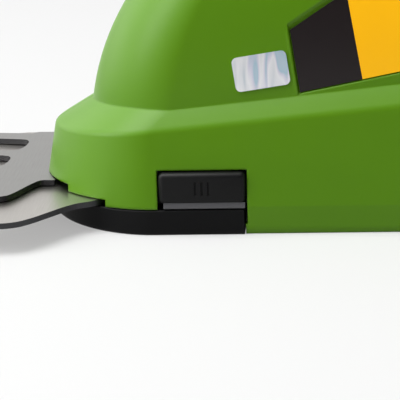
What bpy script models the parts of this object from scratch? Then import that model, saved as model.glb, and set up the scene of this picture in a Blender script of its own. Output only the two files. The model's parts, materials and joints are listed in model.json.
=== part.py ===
"""Cordless garden shears: a low motor body with a closed handle over clip-on grass blades.

Metres, +Z up. The blades point to -X and the user stands at +X, so -Y is the user's left.
The origin is on the ground, below the axis that the moving blade swings about.
"""
import math

import bmesh
import bpy
from mathutils import Vector

MM = 0.001

# Clearances
GAP = 0.3 * MM
RUN_GAP = 0.3 * MM
SLIDE_GAP = 0.5 * MM

# Outer body
WALL = 2.4 * MM
NOSE_FRONT = 36.2 * MM
NOSE_POWER = 1.8
BODY_HALF = 34.6 * MM
BODY_REAR = 214.0 * MM
FOOT_IN = 1.2 * MM
FOOT_ROUND = 1.6 * MM
WAIST_Z = 8.9 * MM
TAIL_LENGTH = 34.0 * MM
CREASE_HEIGHT = 31.7 * MM
CREASE_RISE = 0.092
CREASE_IN = 3.7 * MM
BAND_IN = 4.4 * MM
BAND_UP = 5.8 * MM
BAND_NOSE_IN = 11.5 * MM
DECK_UP = 4.5 * MM
DECK_IN = 9.0 * MM
NOSE_STEPS = 21
TAIL_STEPS = 8

# Dome over the motor
DOME_CENTRE_X = 83.0 * MM
DOME_BASE_Z = 25.0 * MM
DOME_LENGTH = 104.0 * MM
DOME_HEIGHT = 88.0 * MM
DOME_HALF = 27.2 * MM
DOME_REAR = 101.0 * MM
DOME_REAR_LEAN = 0.14
DOME_LEVELS = 9

# Handle
GRIP_HALF_WIDTH = 15.0 * MM
GRIP_HALF_HEIGHT = 16.5 * MM
GRIP_TOP_Z = 126.0 * MM
COLUMN_HALF_DEPTH = 12.5 * MM
COLUMN_BACK = 15.0 * MM
COLUMN_SINK = 8.5 * MM
HANDLE_STEPS = 15
HANDLE_SIDES = 18
SLEEVE_WALL = 1.6 * MM
SLEEVE_START = 3.35
SLEEVE_STOP = 5.6

# Blades and the base that carries them
BASE_HEIGHT = 8.0 * MM
BASE_FLOOR = 2.4 * MM
BASE_REAR = 28.4 * MM
BASE_CORNER = 0.8 * MM
BASE_NOSE_IN = 2.2 * MM
BLADE_THICK = 1.8 * MM
LOWER_TIP_X = 108.0 * MM
UPPER_TIP_X = 104.0 * MM
LOWER_ROOT_X = 61.0 * MM
UPPER_ROOT_X = 50.9 * MM
TOOTH_PITCH = 20.4 * MM
LOWER_HALF = 52.6 * MM
UPPER_HALF = 38.6 * MM
SHOULDER_HALF = 19.1 * MM
LOWER_TAIL_HALF = 22.0 * MM
LOWER_TEETH = 5
UPPER_TEETH = 4
TOOTH_ROOT = 6.2 * MM
TOOTH_TIP = 4.6 * MM
NECK_HALF = 8.8 * MM
TAIL_HALF = 7.4 * MM
TAIL_END_X = 25.0 * MM
REST_SWING_DEG = 9.0
PIVOT_RADIUS = 3.0 * MM
PIVOT_HEAD_RADIUS = 5.5 * MM
PIVOT_HEAD_HEIGHT = 2.0 * MM
INSERT_RADIUS = 5.2 * MM
BLADE_SCREWS = [(14.0 * MM, 15.5 * MM), (-9.0 * MM, 17.5 * MM)]
RIM_STEP_1_X = -27.0 * MM
RIM_STEP_2_X = -14.4 * MM

# Gear train
CRANK_X = 16.0 * MM
GEAR_MODULE = 0.8 * MM
CRANK_TEETH = 36
IDLER_SMALL_TEETH = 12
IDLER_BIG_TEETH = 36
PINION_TEETH = 10
GEAR_FACE = 6.0 * MM
CRANK_GEAR_Z = 21.0 * MM
IDLER_GEAR_Z = 29.0 * MM
SHAFT_RADIUS = 2.5 * MM
HUB_RADIUS = 7.0 * MM
HUB_FOOT_Z = 13.6 * MM
PIN_RADIUS = 2.5 * MM

# Gearcase
CASE_WALL = 2.0 * MM
CASE_FLOOR_Z = 16.0 * MM
CASE_FLOOR = 3.0 * MM
CASE_TOP_Z = 42.0 * MM
CASE_HALF = 17.6 * MM
BUSH_WALL = 2.0 * MM

# Motor
MOTOR_RADIUS = 13.85 * MM
MOTOR_LENGTH = 38.0 * MM
MOTOR_CAP = 4.0 * MM
ROTOR_RADIUS = 1.5 * MM
CAN_WALL = 1.0 * MM
CAN_NECK_RADIUS = 4.6 * MM
CAN_NECK = 2.5 * MM
MAGNET_INNER = 9.0 * MM
MAGNET_SHORT = 3.0 * MM
CORE_RADIUS = 8.4 * MM
CORE_LOW = 7.0 * MM
CORE_HIGH = 6.0 * MM
MOTOR_RIB_Z = 62.0 * MM
RIB = 2.4 * MM

# Buttons
BUTTON_X = 2.4 * MM
BUTTON_LENGTH = 26.4 * MM
BUTTON_HEIGHT = 11.1 * MM
BUTTON_DEPTH = 5.0 * MM
BUTTON_TRAVEL = 3.5 * MM
FLANGE = 2.0 * MM
FLANGE_LIP = 1.8 * MM
SPRING_RADIUS = 3.0 * MM
SPRING_WIRE = 0.4 * MM

# Trigger and switch
TRIGGER_X = 99.0 * MM
TRIGGER_LENGTH = 34.0 * MM
TRIGGER_WIDTH = 12.0 * MM
TRIGGER_DROP = 11.0 * MM
SWITCH_LENGTH = 20.0 * MM
SWITCH_HEIGHT = 9.0 * MM
SWITCH_WIDTH = 10.0 * MM
PLUNGER_X = 14.0 * MM
PLUNGER_RADIUS = 1.5 * MM
PLUNGER_LENGTH = 5.0 * MM
PLUNGER_TRAVEL = 2.0 * MM
TRIGGER_TOP = 2.2 * MM
TRIGGER_PIN = 1.25 * MM
TRIGGER_PIN_HALF = 9.5 * MM
LOCK_X = 112.0 * MM
LOCK_LENGTH = 14.0 * MM
LOCK_WIDTH = 9.0 * MM
LOCK_HEIGHT = 3.6 * MM
LOCK_TRAVEL = 4.0 * MM

# Battery
PACK_LENGTH = 87.0 * MM
PACK_PROUD = 3.0 * MM
PACK_HALF = 26.0 * MM
PACK_HEIGHT = 42.0 * MM
PACK_ROUND = 3.0 * MM
PACK_SIDE_RIBS = (10.0 * MM, 56.0 * MM)
LATCH_WIDTH = 20.0 * MM
LATCH_HEIGHT = 8.0 * MM
LATCH_DEPTH = 6.0 * MM
LATCH_UP = 28.0 * MM
LATCH_TRAVEL = 2.5 * MM
LAMP_HALF = 7.0 * MM
LAMP_HEIGHT = 3.4 * MM
LAMP_DEPTH = 1.2 * MM
LAMP_UP = 19.0 * MM
CONTACT_HALF_THICK = 0.4 * MM
CONTACT_HALF_HEIGHT = 4.0 * MM
CONTACT_Y = 8.0 * MM
CONTACT_REACH = 9.0 * MM
BLOCK_HALF = 14.0 * MM
BLOCK_Z = 14.0 * MM
BLOCK_HEIGHT = 20.0 * MM
BLOCK_DEPTH = 8.5 * MM

# Control board
BOARD_AHEAD = 20.0 * MM
BOARD_THICK = 1.6 * MM
BOARD_HALF = 18.0 * MM
BOARD_Z = 8.0 * MM
BOARD_HEIGHT = 28.0 * MM
BOARD_SEAT = 2.0 * MM
RELAY_DEPTH = 9.0 * MM
RELAY_HALF = 8.0 * MM
RELAY_HEIGHT = 12.0 * MM
RELAY_UP = 8.0 * MM

# Leads from the motor to the switch
LEAD_RADIUS = 0.8 * MM
LEAD_MOTOR_Y = 9.0 * MM
LEAD_SWITCH_Y = 3.0 * MM

# Housing screws
SCREW_RADIUS = 1.45 * MM
SCREW_HEAD_RADIUS = 2.9 * MM
SCREW_HEAD = 2.2 * MM
SCREW_LENGTH = 14.0 * MM
SCREW_SEAT_Y = 5.0 * MM
BOSS_RADIUS = 4.2 * MM

# Label and sticker
LABEL_DEPTH = 1.1 * MM
LABEL_THICK = 0.5 * MM
STICKER_WIDTH = 16.6 * MM
STICKER_HEIGHT = 10.4 * MM
STICKER_THICK = 0.3 * MM

# Sizes that follow from the ones above
LOWER_Z = BASE_HEIGHT + GAP
UPPER_Z = LOWER_Z + BLADE_THICK + GAP
RIM_Z3 = BASE_HEIGHT + GAP
RIM_Z2 = UPPER_Z
RIM_Z1 = UPPER_Z + BLADE_THICK + GAP
IDLER_X = CRANK_X + GEAR_MODULE * (CRANK_TEETH + IDLER_SMALL_TEETH) / 2
MOTOR_X = IDLER_X + GEAR_MODULE * (IDLER_BIG_TEETH + PINION_TEETH) / 2
SWING = math.radians(REST_SWING_DEG)
CRANK_THROW = CRANK_X * math.sin(SWING)
BUTTON_Z = RIM_Z3 + 0.2 * MM
SPRING_Z = CASE_FLOOR_Z + 0.5 * MM
COLUMN_X = BODY_REAR - COLUMN_BACK
PACK_FRONT_X = BODY_REAR + PACK_PROUD - PACK_LENGTH
PACK_Z = WALL + SLIDE_GAP
BOARD_X = PACK_FRONT_X - BOARD_AHEAD
SWITCH_X = TRIGGER_X + PLUNGER_X - 5.0 * MM
SWITCH_Z = GRIP_TOP_Z - 2 * GRIP_HALF_HEIGHT + 10.0 * MM
MOTOR_Z = CASE_TOP_Z + GAP


def clear_scene():
    for thing in list(bpy.data.objects):
        bpy.data.objects.remove(thing, do_unlink=True)


def new_collection(name, hidden=False):
    group = bpy.data.collections.new(name)
    bpy.context.scene.collection.children.link(group)
    group.hide_render = hidden
    return group


clear_scene()
PARTS = new_collection("cordless_garden_shears")
CUTTERS = new_collection("cutters", hidden=True)


def material(name, colour, roughness, metallic=0.0):
    mat = bpy.data.materials.new(name)
    mat.use_nodes = True
    shader = mat.node_tree.nodes["Principled BSDF"]
    shader.inputs["Base Color"].default_value = (*colour, 1.0)
    shader.inputs["Roughness"].default_value = roughness
    shader.inputs["Metallic"].default_value = metallic
    return mat


def place(name, data, mat=None, at=(0, 0, 0), turn=(0, 0, 0)):
    """A piece when it has a material, a cutter when it has none."""
    thing = bpy.data.objects.new(name, data)
    (PARTS if mat else CUTTERS).objects.link(thing)
    thing.location = at
    thing.rotation_euler = turn
    if mat:
        data.materials.append(mat)
    else:
        thing.hide_render = True
        thing.display_type = 'WIRE'
    return thing


def mesh_of(build, smooth=True):
    """A mesh filled by a function that gets an empty bmesh."""
    bm = bmesh.new()
    build(bm)
    bmesh.ops.recalc_face_normals(bm, faces=bm.faces)
    for face in bm.faces:
        face.smooth = smooth
    mesh = bpy.data.meshes.new("body")
    bm.to_mesh(mesh)
    bm.free()
    if smooth:
        mesh.set_sharp_from_angle(angle=math.radians(32))
    return mesh


def box(name, low, high, mat=None, round_by=0.0, steps=2, at=(0, 0, 0), turn=(0, 0, 0)):
    low, high = Vector(low), Vector(high)

    def build(bm):
        bmesh.ops.create_cube(bm, size=1.0)
        for vert in bm.verts:
            vert.co = Vector([(low[i] + high[i]) / 2 + vert.co[i] * (high[i] - low[i]) for i in range(3)])
    thing = place(name, mesh_of(build, smooth=round_by > 0), mat, at, turn)
    if round_by > 0:
        bevel = thing.modifiers.new("rounding", 'BEVEL')
        bevel.width = round_by
        bevel.segments = steps
        bevel.limit_method = 'ANGLE'
    return thing


def rod(name, radius, low, high, mat=None, at=(0, 0, 0), turn=(0, 0, 0), sides=20):
    def build(bm):
        bmesh.ops.create_cone(bm, cap_ends=True, segments=sides, radius1=radius, radius2=radius,
                              depth=high - low)
        bmesh.ops.translate(bm, verts=bm.verts, vec=(0, 0, (low + high) / 2))
    return place(name, mesh_of(build), mat, at, turn)


def turned(name, profile, mat=None, at=(0, 0, 0), turn=(0, 0, 0), sides=28, closed=False):
    """A round piece from (radius, height) points, top to bottom down its outer side."""
    mesh = bpy.data.meshes.new("profile")
    links = [(i, i + 1) for i in range(len(profile) - 1)]
    if closed:
        links.append((len(profile) - 1, 0))
    mesh.from_pydata([(r, 0, z) for r, z in profile], links, [])
    thing = place(name, mesh, mat, at, turn)
    screw = thing.modifiers.new("turning", 'SCREW')
    screw.steps = sides
    screw.render_steps = sides
    screw.use_merge_vertices = True
    screw.merge_threshold = 0.00001
    screw.use_smooth_shade = True
    return thing


def ring_of(name, outer, inner, low, high, mat, at=(0, 0, 0), sides=28):
    return turned(name, [(outer, high), (outer, low), (inner, low), (inner, high)], mat, at,
                  sides=sides, closed=True)


def plate_curve(name, outlines, low, high, mat=None, at=(0, 0, 0), turn=(0, 0, 0)):
    """A flat plate: the first outline is its edge, the others are holes through it."""
    curve = bpy.data.curves.new(name, 'CURVE')
    curve.dimensions = '2D'
    curve.fill_mode = 'BOTH'
    curve.extrude = (high - low) / 2
    for outline in outlines:
        spline = curve.splines.new('POLY')
        spline.points.add(len(outline) - 1)
        spline.use_cyclic_u = True
        for point, (x, y) in zip(spline.points, outline):
            point.co = (x, y, 0, 1)
    thing = place(name, curve, mat, at, turn)
    return thing


def plate(name, outlines, low, high, mat=None, at=(0, 0, 0), turn=(0, 0, 0)):
    """The same plate as a mesh, its lower face at the height low."""
    drawn = plate_curve(name + "_outline", outlines, low, high)
    bpy.context.view_layer.update()
    flat = drawn.evaluated_get(bpy.context.evaluated_depsgraph_get())
    mesh = bpy.data.meshes.new_from_object(flat)
    bpy.data.objects.remove(drawn, do_unlink=True)
    bm = bmesh.new()
    bm.from_mesh(mesh)
    bmesh.ops.remove_doubles(bm, verts=bm.verts, dist=0.000001)
    bmesh.ops.translate(bm, verts=bm.verts, vec=(0, 0, (low + high) / 2))
    bmesh.ops.recalc_face_normals(bm, faces=bm.faces)
    bm.to_mesh(mesh)
    bm.free()
    return place(name, mesh, mat, at, turn)


def prism(name, outline, low, high, mat=None, at=(0, 0, 0), turn=(0, 0, 0)):
    """A solid with straight sides over an outline that has no holes."""
    thing = loft(name, [[Vector((x, y, z)) for x, y in outline] for z in (low, high)], mat)
    thing.location, thing.rotation_euler = at, turn
    return thing


def side_plate(name, outline, half_width, mat=None, at=(0, 0, 0)):
    """A plate drawn in side view, X along and Z up, centred on the mid plane of the shears."""
    return prism(name, outline, -half_width, half_width, mat, at, turn=(math.pi / 2, 0, 0))


def loft(name, rings, mat=None):
    count = len(rings[0])

    def build(bm):
        rows = [[bm.verts.new(point) for point in ring] for ring in rings]
        for low, high in zip(rows, rows[1:]):
            for i in range(count):
                j = (i + 1) % count
                bm.faces.new((low[i], low[j], high[j], high[i]))
        bmesh.ops.triangulate(bm, faces=bm.faces)
        bm.faces.new(rows[0])
        bm.faces.new(rows[-1])
    return place(name, mesh_of(build), mat)


def combine(thing, other, operation):
    step = thing.modifiers.new(operation.lower() + "_" + other.name, 'BOOLEAN')
    step.operation = operation
    step.solver = 'EXACT'
    step.object = other
    return thing


def cut(thing, *others):
    for other in others:
        combine(thing, other, 'DIFFERENCE')
    return thing


def join(thing, *others):
    for other in others:
        combine(thing, other, 'UNION')
    return thing


def shelled(value):
    return math.copysign(abs(value) ** (2.0 / NOSE_POWER), value)


def plan_outline(front, half, rear, nose, tail, height):
    """Nose curve from the left side round to the right, then the squarer tail."""
    points = []
    for i in range(NOSE_STEPS + 1):
        angle = -math.pi / 2 + math.pi * i / NOSE_STEPS
        x = -front + nose - nose * shelled(math.cos(angle))
        points.append((x, half * shelled(math.sin(angle))))
    for i in range(TAIL_STEPS + 1):
        angle = math.pi / 2 - math.pi * i / TAIL_STEPS
        x = rear - tail + tail * abs(math.cos(angle)) ** 0.5
        points.append((x, math.copysign(half * abs(math.sin(angle)) ** 0.5, math.sin(angle))))
    return [Vector((x, y, height(x))) for x, y in points]


def skirt_rings(inset):
    """Rings of the low body, from the ground up to the deck behind the dome."""
    sloped = lambda base: (lambda x: base + CREASE_RISE * x)
    level = lambda base: (lambda x: base)
    top = CREASE_HEIGHT + BAND_UP
    rows = [(FOOT_IN, FOOT_IN, level(inset))]
    if inset == 0:
        rows.append((0.2 * FOOT_IN, 0.2 * FOOT_IN, level(FOOT_ROUND)))
    rows += [
        (0.0, 0.0, level(WAIST_Z)),
        (CREASE_IN, CREASE_IN, sloped(CREASE_HEIGHT - 0.4 * inset)),
        (CREASE_IN + BAND_NOSE_IN, CREASE_IN + BAND_IN, sloped(top - inset)),
        (CREASE_IN + BAND_NOSE_IN + DECK_IN, CREASE_IN + BAND_IN + 0.35 * DECK_IN,
         sloped(top + 0.7 * DECK_UP - inset)),
        (CREASE_IN + BAND_NOSE_IN + 2 * DECK_IN, CREASE_IN + BAND_IN + DECK_IN,
         sloped(top + DECK_UP - inset)),
    ]
    rings = []
    for nose_in, side_in, height in rows:
        front = NOSE_FRONT - nose_in - inset
        half = BODY_HALF - side_in - inset
        rear = BODY_REAR - side_in * 1.4 - inset
        rings.append(plan_outline(front, half, rear, front, TAIL_LENGTH - side_in, height))
    return rings


def dome_rings(inset, low_z, levels=DOME_LEVELS):
    """Rings of the dome: its front and its sides both follow a quarter ellipse."""
    rings = []
    reach = DOME_HEIGHT - inset
    start = math.asin((low_z - DOME_BASE_Z) / reach)
    for i in range(levels + 1):
        angle = start + (1.46 - start) * i / levels
        z = DOME_BASE_Z + reach * math.sin(angle)
        shrink = math.cos(angle)
        half = (DOME_HALF - inset) * shrink
        front = (DOME_LENGTH - inset) * shrink - DOME_CENTRE_X
        rear = DOME_REAR - inset - DOME_REAR_LEAN * (z - DOME_BASE_Z)
        nose = DOME_HALF * max(shrink, 0.25)
        rings.append(plan_outline(front, half, rear, nose, 0.6 * nose, lambda x, z=z: z))
    return rings


def handle_line():
    """Mid line of the handle in side view: up from the dome, along the grip, down the column."""
    grip, reach = GRIP_TOP_Z - GRIP_HALF_HEIGHT, COLUMN_X - DOME_CENTRE_X
    drop = grip - (CREASE_HEIGHT + CREASE_RISE * COLUMN_X - COLUMN_SINK)
    shares = [(-0.241, 0.382), (-0.052, 0.169), (0.155, 0.047), (0.379, 0.0), (0.586, 0.022),
              (0.776, 0.118), (0.914, 0.294), (0.983, 0.544), (1.0, 0.824), (1.0, 1.0)]
    return [(DOME_CENTRE_X + ahead * reach, grip - down * drop) for ahead, down in shares]


def spline_at(points, t):
    """Smooth curve through the points; t runs from 0 to the last point's number."""
    i = min(int(t), len(points) - 2)
    f = t - i
    p = [Vector((x, 0, z)) for x, z in
         (points[max(i - 1, 0)], points[i], points[i + 1], points[min(i + 2, len(points) - 1)])]
    return 0.5 * ((2 * p[1]) + (p[2] - p[0]) * f + (2 * p[0] - 5 * p[1] + 4 * p[2] - p[3]) * f * f
                  + (3 * p[1] - p[0] - 3 * p[2] + p[3]) * f ** 3)


def handle_frame(t):
    """Point on the handle's mid line and the directions along it and out of its top."""
    points = handle_line()
    last = len(points) - 1
    here = spline_at(points, t)
    along = (spline_at(points, min(t + 0.02, last)) - spline_at(points, max(t - 0.02, 0))).normalized()
    return here, along, Vector((0, 1, 0)).cross(along) * -1.0


def handle_half(t):
    """Half height of the handle at t: thicker at the dome, thinner down the column."""
    last = len(handle_line()) - 1
    front = max(0.0, 1.0 - t / 2.2)
    down = max(0.0, (t - 5.0) / (last - 5.0))
    return GRIP_HALF_HEIGHT * (1 + 0.16 * front) * (1 - down) + COLUMN_HALF_DEPTH * down


def handle_ring(t, inset):
    here, along, up = handle_frame(t)
    last = len(handle_line()) - 1
    spread = max(0.0, (t - 5.5) / (last - 5.5))
    high = handle_half(t) - inset
    wide = GRIP_HALF_WIDTH + 6 * MM * spread - inset
    ring = []
    for i in range(HANDLE_SIDES):
        angle = 2 * math.pi * i / HANDLE_SIDES
        y = wide * math.copysign(abs(math.cos(angle)) ** 0.8, math.cos(angle))
        z = high * math.copysign(abs(math.sin(angle)) ** 0.8, math.sin(angle))
        ring.append(here + Vector((0, y, 0)) + up * z)
    return ring


def handle_rings(inset, start=0.0, stop=None, steps=HANDLE_STEPS):
    stop = len(handle_line()) - 1 if stop is None else stop
    return [handle_ring(start + (stop - start) * i / steps, inset) for i in range(steps + 1)]


# Materials
GREEN = material("green_plastic", (0.08, 0.27, 0.012), 0.42)
BLACK = material("black_plastic", (0.012, 0.012, 0.013), 0.5)
DARK = material("dark_plastic", (0.03, 0.03, 0.032), 0.55)
RUBBER = material("grip_rubber", (0.02, 0.02, 0.021), 0.8)
STEEL = material("blade_steel", (0.42, 0.42, 0.43), 0.3, 1.0)
SCREW_STEEL = material("screw_steel", (0.35, 0.35, 0.36), 0.35, 1.0)
CAN_STEEL = material("motor_steel", (0.45, 0.45, 0.46), 0.4, 1.0)
BRASS = material("brass", (0.55, 0.38, 0.12), 0.35, 1.0)
NYLON = material("gear_nylon", (0.7, 0.69, 0.64), 0.45)
LABEL = material("label_film", (0.02, 0.016, 0.016), 0.4)
FOIL = material("foil_film", (0.6, 0.6, 0.68), 0.25, 0.6)
BOARD = material("circuit_board", (0.02, 0.12, 0.05), 0.5)
LENS = material("lamp_lens", (0.75, 0.75, 0.72), 0.2)
RED = material("red_wire", (0.45, 0.01, 0.01), 0.5)
BLACK_WIRE = material("black_wire", (0.01, 0.01, 0.01), 0.5)


def boss_places():
    """Where the housing screws go, as (x, z)."""
    grip = GRIP_TOP_Z - GRIP_HALF_HEIGHT
    return [
        (-4.0 * MM, CASE_TOP_Z + 9 * MM),
        (80.0 * MM, 10.0 * MM),
        (MOTOR_X + MOTOR_RADIUS + BOSS_RADIUS + 4 * MM, MOTOR_RIB_Z + 6 * MM),
        (COLUMN_X - 47.0 * MM, grip),
        (COLUMN_X - 1.5 * MM, grip - 38 * MM),
        (PACK_FRONT_X - 16 * MM, PACK_Z + PACK_HEIGHT - 1.5 * MM),
    ]


def side_rods(name, radius, low_y, high_y, sides=14):
    """A rod across the body at every housing screw."""
    return [rod("%s_%d" % (name, n), radius, low_y, high_y, at=(x, 0, z), turn=(-math.pi / 2, 0, 0),
                sides=sides) for n, (x, z) in enumerate(boss_places(), 1)]


def motor_rib():
    rib = box("motor_rib", (-30 * MM, -60 * MM, MOTOR_RIB_Z), (MOTOR_X + MOTOR_RADIUS + 3 * MM, 60 * MM,
              MOTOR_RIB_Z + RIB))
    return cut(rib, rod("motor_rib_hole", MOTOR_RADIUS + GAP, 0, 200 * MM, at=(MOTOR_X, 0, 0), sides=32))


def held_in(name, x, half, low_z, high_z, over=6 * MM):
    """A rib across the body with a window that holds what passes through it."""
    rib = box(name, (x, -60 * MM, -10 * MM), (x + RIB, 60 * MM, high_z + over))
    window = box(name + "_window", (x - 5 * MM, -half - GAP, low_z - GAP),
                 (x + RIB + 5 * MM, half + GAP, high_z + GAP))
    return cut(rib, window)


def make_cavity():
    """The hollow of the body, with the ribs and posts left standing in it."""
    hollow = loft("cavity", skirt_rings(WALL))
    join(hollow, loft("cavity_dome", dome_rings(WALL, CREASE_HEIGHT)),
         loft("cavity_handle", handle_rings(WALL)))
    cut(hollow, motor_rib(), *side_rods("post", BOSS_RADIUS, -60 * MM, 60 * MM),
        held_in("case_rib", BUTTON_X + BUTTON_LENGTH + FLANGE_LIP + 3 * MM, CASE_HALF, CASE_FLOOR_Z,
                CASE_TOP_Z, -3 * MM),
        held_in("case_rib_rear", MOTOR_X + 6 * MM, CASE_HALF, CASE_FLOOR_Z, CASE_TOP_Z, -3 * MM),
        *[held_in("pack_rib_%d" % n, PACK_FRONT_X + back, PACK_HALF + SLIDE_GAP, PACK_Z,
                  PACK_Z + PACK_HEIGHT + SLIDE_GAP) for n, back in enumerate(PACK_SIDE_RIBS, 1)],
        held_in("block_rib", PACK_FRONT_X - 9 * MM, BLOCK_HALF, BLOCK_Z, BLOCK_Z + BLOCK_HEIGHT),
        held_in("board_rib_front", BOARD_X - GAP - RIB, BOARD_HALF - BOARD_SEAT, BOARD_Z + BOARD_SEAT,
                BOARD_Z + BOARD_HEIGHT - BOARD_SEAT),
        held_in("board_rib_rear", BOARD_X + BOARD_THICK + GAP, BOARD_HALF - BOARD_SEAT, BOARD_Z + BOARD_SEAT,
                BOARD_Z + BOARD_HEIGHT - BOARD_SEAT),
        switch_rib(), *trigger_posts())
    return hollow


def switch_rib():
    low = (-SWITCH_WIDTH / 2 - GAP, SWITCH_Z - GAP)
    high = (SWITCH_WIDTH / 2 + GAP, SWITCH_Z + SWITCH_HEIGHT + GAP)
    rib = box("switch_rib", (SWITCH_X + 14 * MM, -60 * MM, SWITCH_Z - 3 * MM),
              (SWITCH_X + 14 * MM + RIB, 60 * MM, high[1] + 3 * MM))
    return cut(rib, box("switch_window", (SWITCH_X, low[0], low[1]), (SWITCH_X + 40 * MM, high[0], high[1])))


def rim_cutters():
    """The stepped lower edge of the nose, clear of the base and both blades."""
    wide = 80 * MM
    return [
        box("rim_rear", (-wide, -wide, -10 * MM), (BASE_REAR + GAP, wide, RIM_Z3)),
        box("rim_middle", (-wide, -wide, -10 * MM), (RIM_STEP_2_X, wide, RIM_Z2)),
        box("rim_front", (-wide, -wide, -10 * MM), (RIM_STEP_1_X, wide, RIM_Z1)),
    ]


def pocket_cutter(side):
    low = (BUTTON_X - SLIDE_GAP, 0, RIM_Z3 - 5 * MM)
    high = (BUTTON_X + BUTTON_LENGTH + SLIDE_GAP, 0, BUTTON_Z + BUTTON_HEIGHT + SLIDE_GAP)
    near, far = sorted((side * (BODY_HALF - 8 * MM), side * (BODY_HALF + 12 * MM)))
    return box("pocket_%s" % side_name(side), (low[0], near, low[2]), (high[0], far, high[2]))


def side_name(side):
    return "left" if side < 0 else "right"


def label_outline(inset=0.0):
    """Side view of the recessed label panel: its front edge leans, its top follows the crest."""
    return [
        (45.4 * MM + inset, 42.0 * MM + inset), (84 * MM - inset, 49.4 * MM + inset),
        (84 * MM - inset, 80 * MM - inset), (75 * MM, 80 * MM - inset),
        (56 * MM + 0.3 * inset, 69.9 * MM - inset), (42.6 * MM + inset, 61.2 * MM - 0.6 * inset),
    ]


def sticker_outline():
    """Rounded rectangle of the foil sticker, tilted with the panel."""
    centre, tilt = Vector((34.0 * MM, 49.0 * MM)), math.radians(8.3)
    round_by, points = 1.6 * MM, []
    for quarter, (sx, sz) in enumerate(((1, 1), (-1, 1), (-1, -1), (1, -1))):
        for k in range(4):
            angle = math.radians(90 * quarter + 30 * k)
            x = sx * (STICKER_WIDTH / 2 - round_by) + round_by * math.cos(angle)
            z = sz * (STICKER_HEIGHT / 2 - round_by) + round_by * math.sin(angle)
            points.append((centre.x + x * math.cos(tilt) - z * math.sin(tilt),
                           centre.y + x * math.sin(tilt) + z * math.cos(tilt)))
    return points


def side_film(name, outline, side, outer, inner, mat=None):
    """A thin piece that follows the dome's side, between two insets from its surface."""
    film = side_plate(name, outline, 30 * MM, mat)
    dome = loft(name + "_outside", dome_rings(outer, CREASE_HEIGHT))
    core = loft(name + "_inside", dome_rings(inner, CREASE_HEIGHT))
    far = 80 * MM
    other = box(name + "_other_side", (-far, -side * 0.001 * MM if side < 0 else -far, -far),
                (2 * far, far if side < 0 else 0.001 * MM, 2 * far))
    combine(film, dome, 'INTERSECT')
    cut(film, core, other)
    return film


def make_shell(side, cavity, drills):
    name = side_name(side) + "_shell"
    shell = loft(name, skirt_rings(0), GREEN)
    join(shell, loft(name + "_dome", dome_rings(0, CREASE_HEIGHT)), loft(name + "_handle", handle_rings(0)))
    cut(shell, cavity, *rim_cutters())
    cut(shell, pocket_cutter(side))
    recess = side_film(name + "_recess", label_outline(), side, -5 * MM, LABEL_DEPTH)
    cut(shell, recess, bay_cutter(), trigger_cutter(), lock_cutter(), sleeve_cutter(), *drills)
    far = 400 * MM
    if side < 0:
        half = box(name + "_half", (-far, -GAP / 2, -far), (far, far, far))
    else:
        half = box(name + "_half", (-far, -far, -far), (far, GAP / 2, far))
    return cut(shell, half)


def bay_cutter():
    return box("bay_cutter", (BODY_REAR - 24 * MM, -PACK_HALF - SLIDE_GAP, PACK_Z - SLIDE_GAP / 2),
               (BODY_REAR + 30 * MM, PACK_HALF + SLIDE_GAP, PACK_Z + PACK_HEIGHT + SLIDE_GAP))


def trigger_cutter():
    low, high = TRIGGER_X - 3 * MM, TRIGGER_X + TRIGGER_LENGTH + 1 * MM
    return box("trigger_cutter", (low, -TRIGGER_WIDTH / 2 - SLIDE_GAP, 60 * MM),
               (high, TRIGGER_WIDTH / 2 + SLIDE_GAP, SWITCH_Z + 1 * MM))


def lock_frame():
    """Place on the handle's top for the lock-off button, and the handle's slope there."""
    t = 2 + (LOCK_X - handle_line()[2][0]) / (handle_line()[3][0] - handle_line()[2][0])
    here, along, up = handle_frame(t)
    return here + up * handle_half(t), -math.atan2(along.z, along.x)


def lock_cutter():
    at, slope = lock_frame()
    reach = LOCK_LENGTH / 2 - 2 * MM
    return box("lock_cutter", (-reach - LOCK_TRAVEL - SLIDE_GAP, -LOCK_WIDTH / 4 - SLIDE_GAP, -8 * MM),
               (reach + SLIDE_GAP, LOCK_WIDTH / 4 + SLIDE_GAP, 8 * MM), at=at, turn=(0, slope, 0))


def sleeve_cutter():
    """Shallow seat round the handle for the soft sleeve."""
    seat = loft("sleeve_seat", handle_rings(-5 * MM, SLEEVE_START, SLEEVE_STOP, 10))
    core = loft("sleeve_core", handle_rings(SLEEVE_WALL, SLEEVE_START - 0.3, SLEEVE_STOP + 0.3, 12))
    return cut(seat, core)


def make_sleeve():
    """The soft sleeve, a closed tube round the grip, a gap clear of its seat."""
    margin = 0.012
    sleeve = loft("grip_sleeve", handle_rings(0.0, SLEEVE_START + margin, SLEEVE_STOP - margin, 10), RUBBER)
    return cut(sleeve, loft("sleeve_bore", handle_rings(SLEEVE_WALL - GAP, SLEEVE_START - 0.3,
                                                        SLEEVE_STOP + 0.3, 12)))


def make_housing():
    cavity = make_cavity()
    drills = [*side_rods("drill", SCREW_RADIUS + GAP, -SCREW_LENGTH + SCREW_SEAT_Y - 1 * MM, 60 * MM, 12),
              *side_rods("head_hole", SCREW_HEAD_RADIUS + SLIDE_GAP, SCREW_SEAT_Y, 60 * MM, 14),
              rod("trigger_pin_hole", TRIGGER_PIN + GAP, -TRIGGER_PIN_HALF - GAP, TRIGGER_PIN_HALF + GAP,
                  at=trigger_pivot(), turn=(math.pi / 2, 0, 0), sides=16)]
    make_shell(-1, cavity, drills)
    make_shell(1, cavity, drills)
    for side in (-1, 1):
        side_film(side_name(side) + "_label", label_outline(GAP), side, LABEL_DEPTH - GAP - LABEL_THICK,
                  LABEL_DEPTH - GAP, LABEL)
    side_film("foil_sticker", sticker_outline(), -1, -STICKER_THICK - GAP / 2, -GAP / 2, FOIL)
    make_sleeve()
    for number, (x, z) in enumerate(boss_places(), 1):
        housing_screw("housing_screw_%d" % number, (x, SCREW_SEAT_Y + GAP, z))


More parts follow.
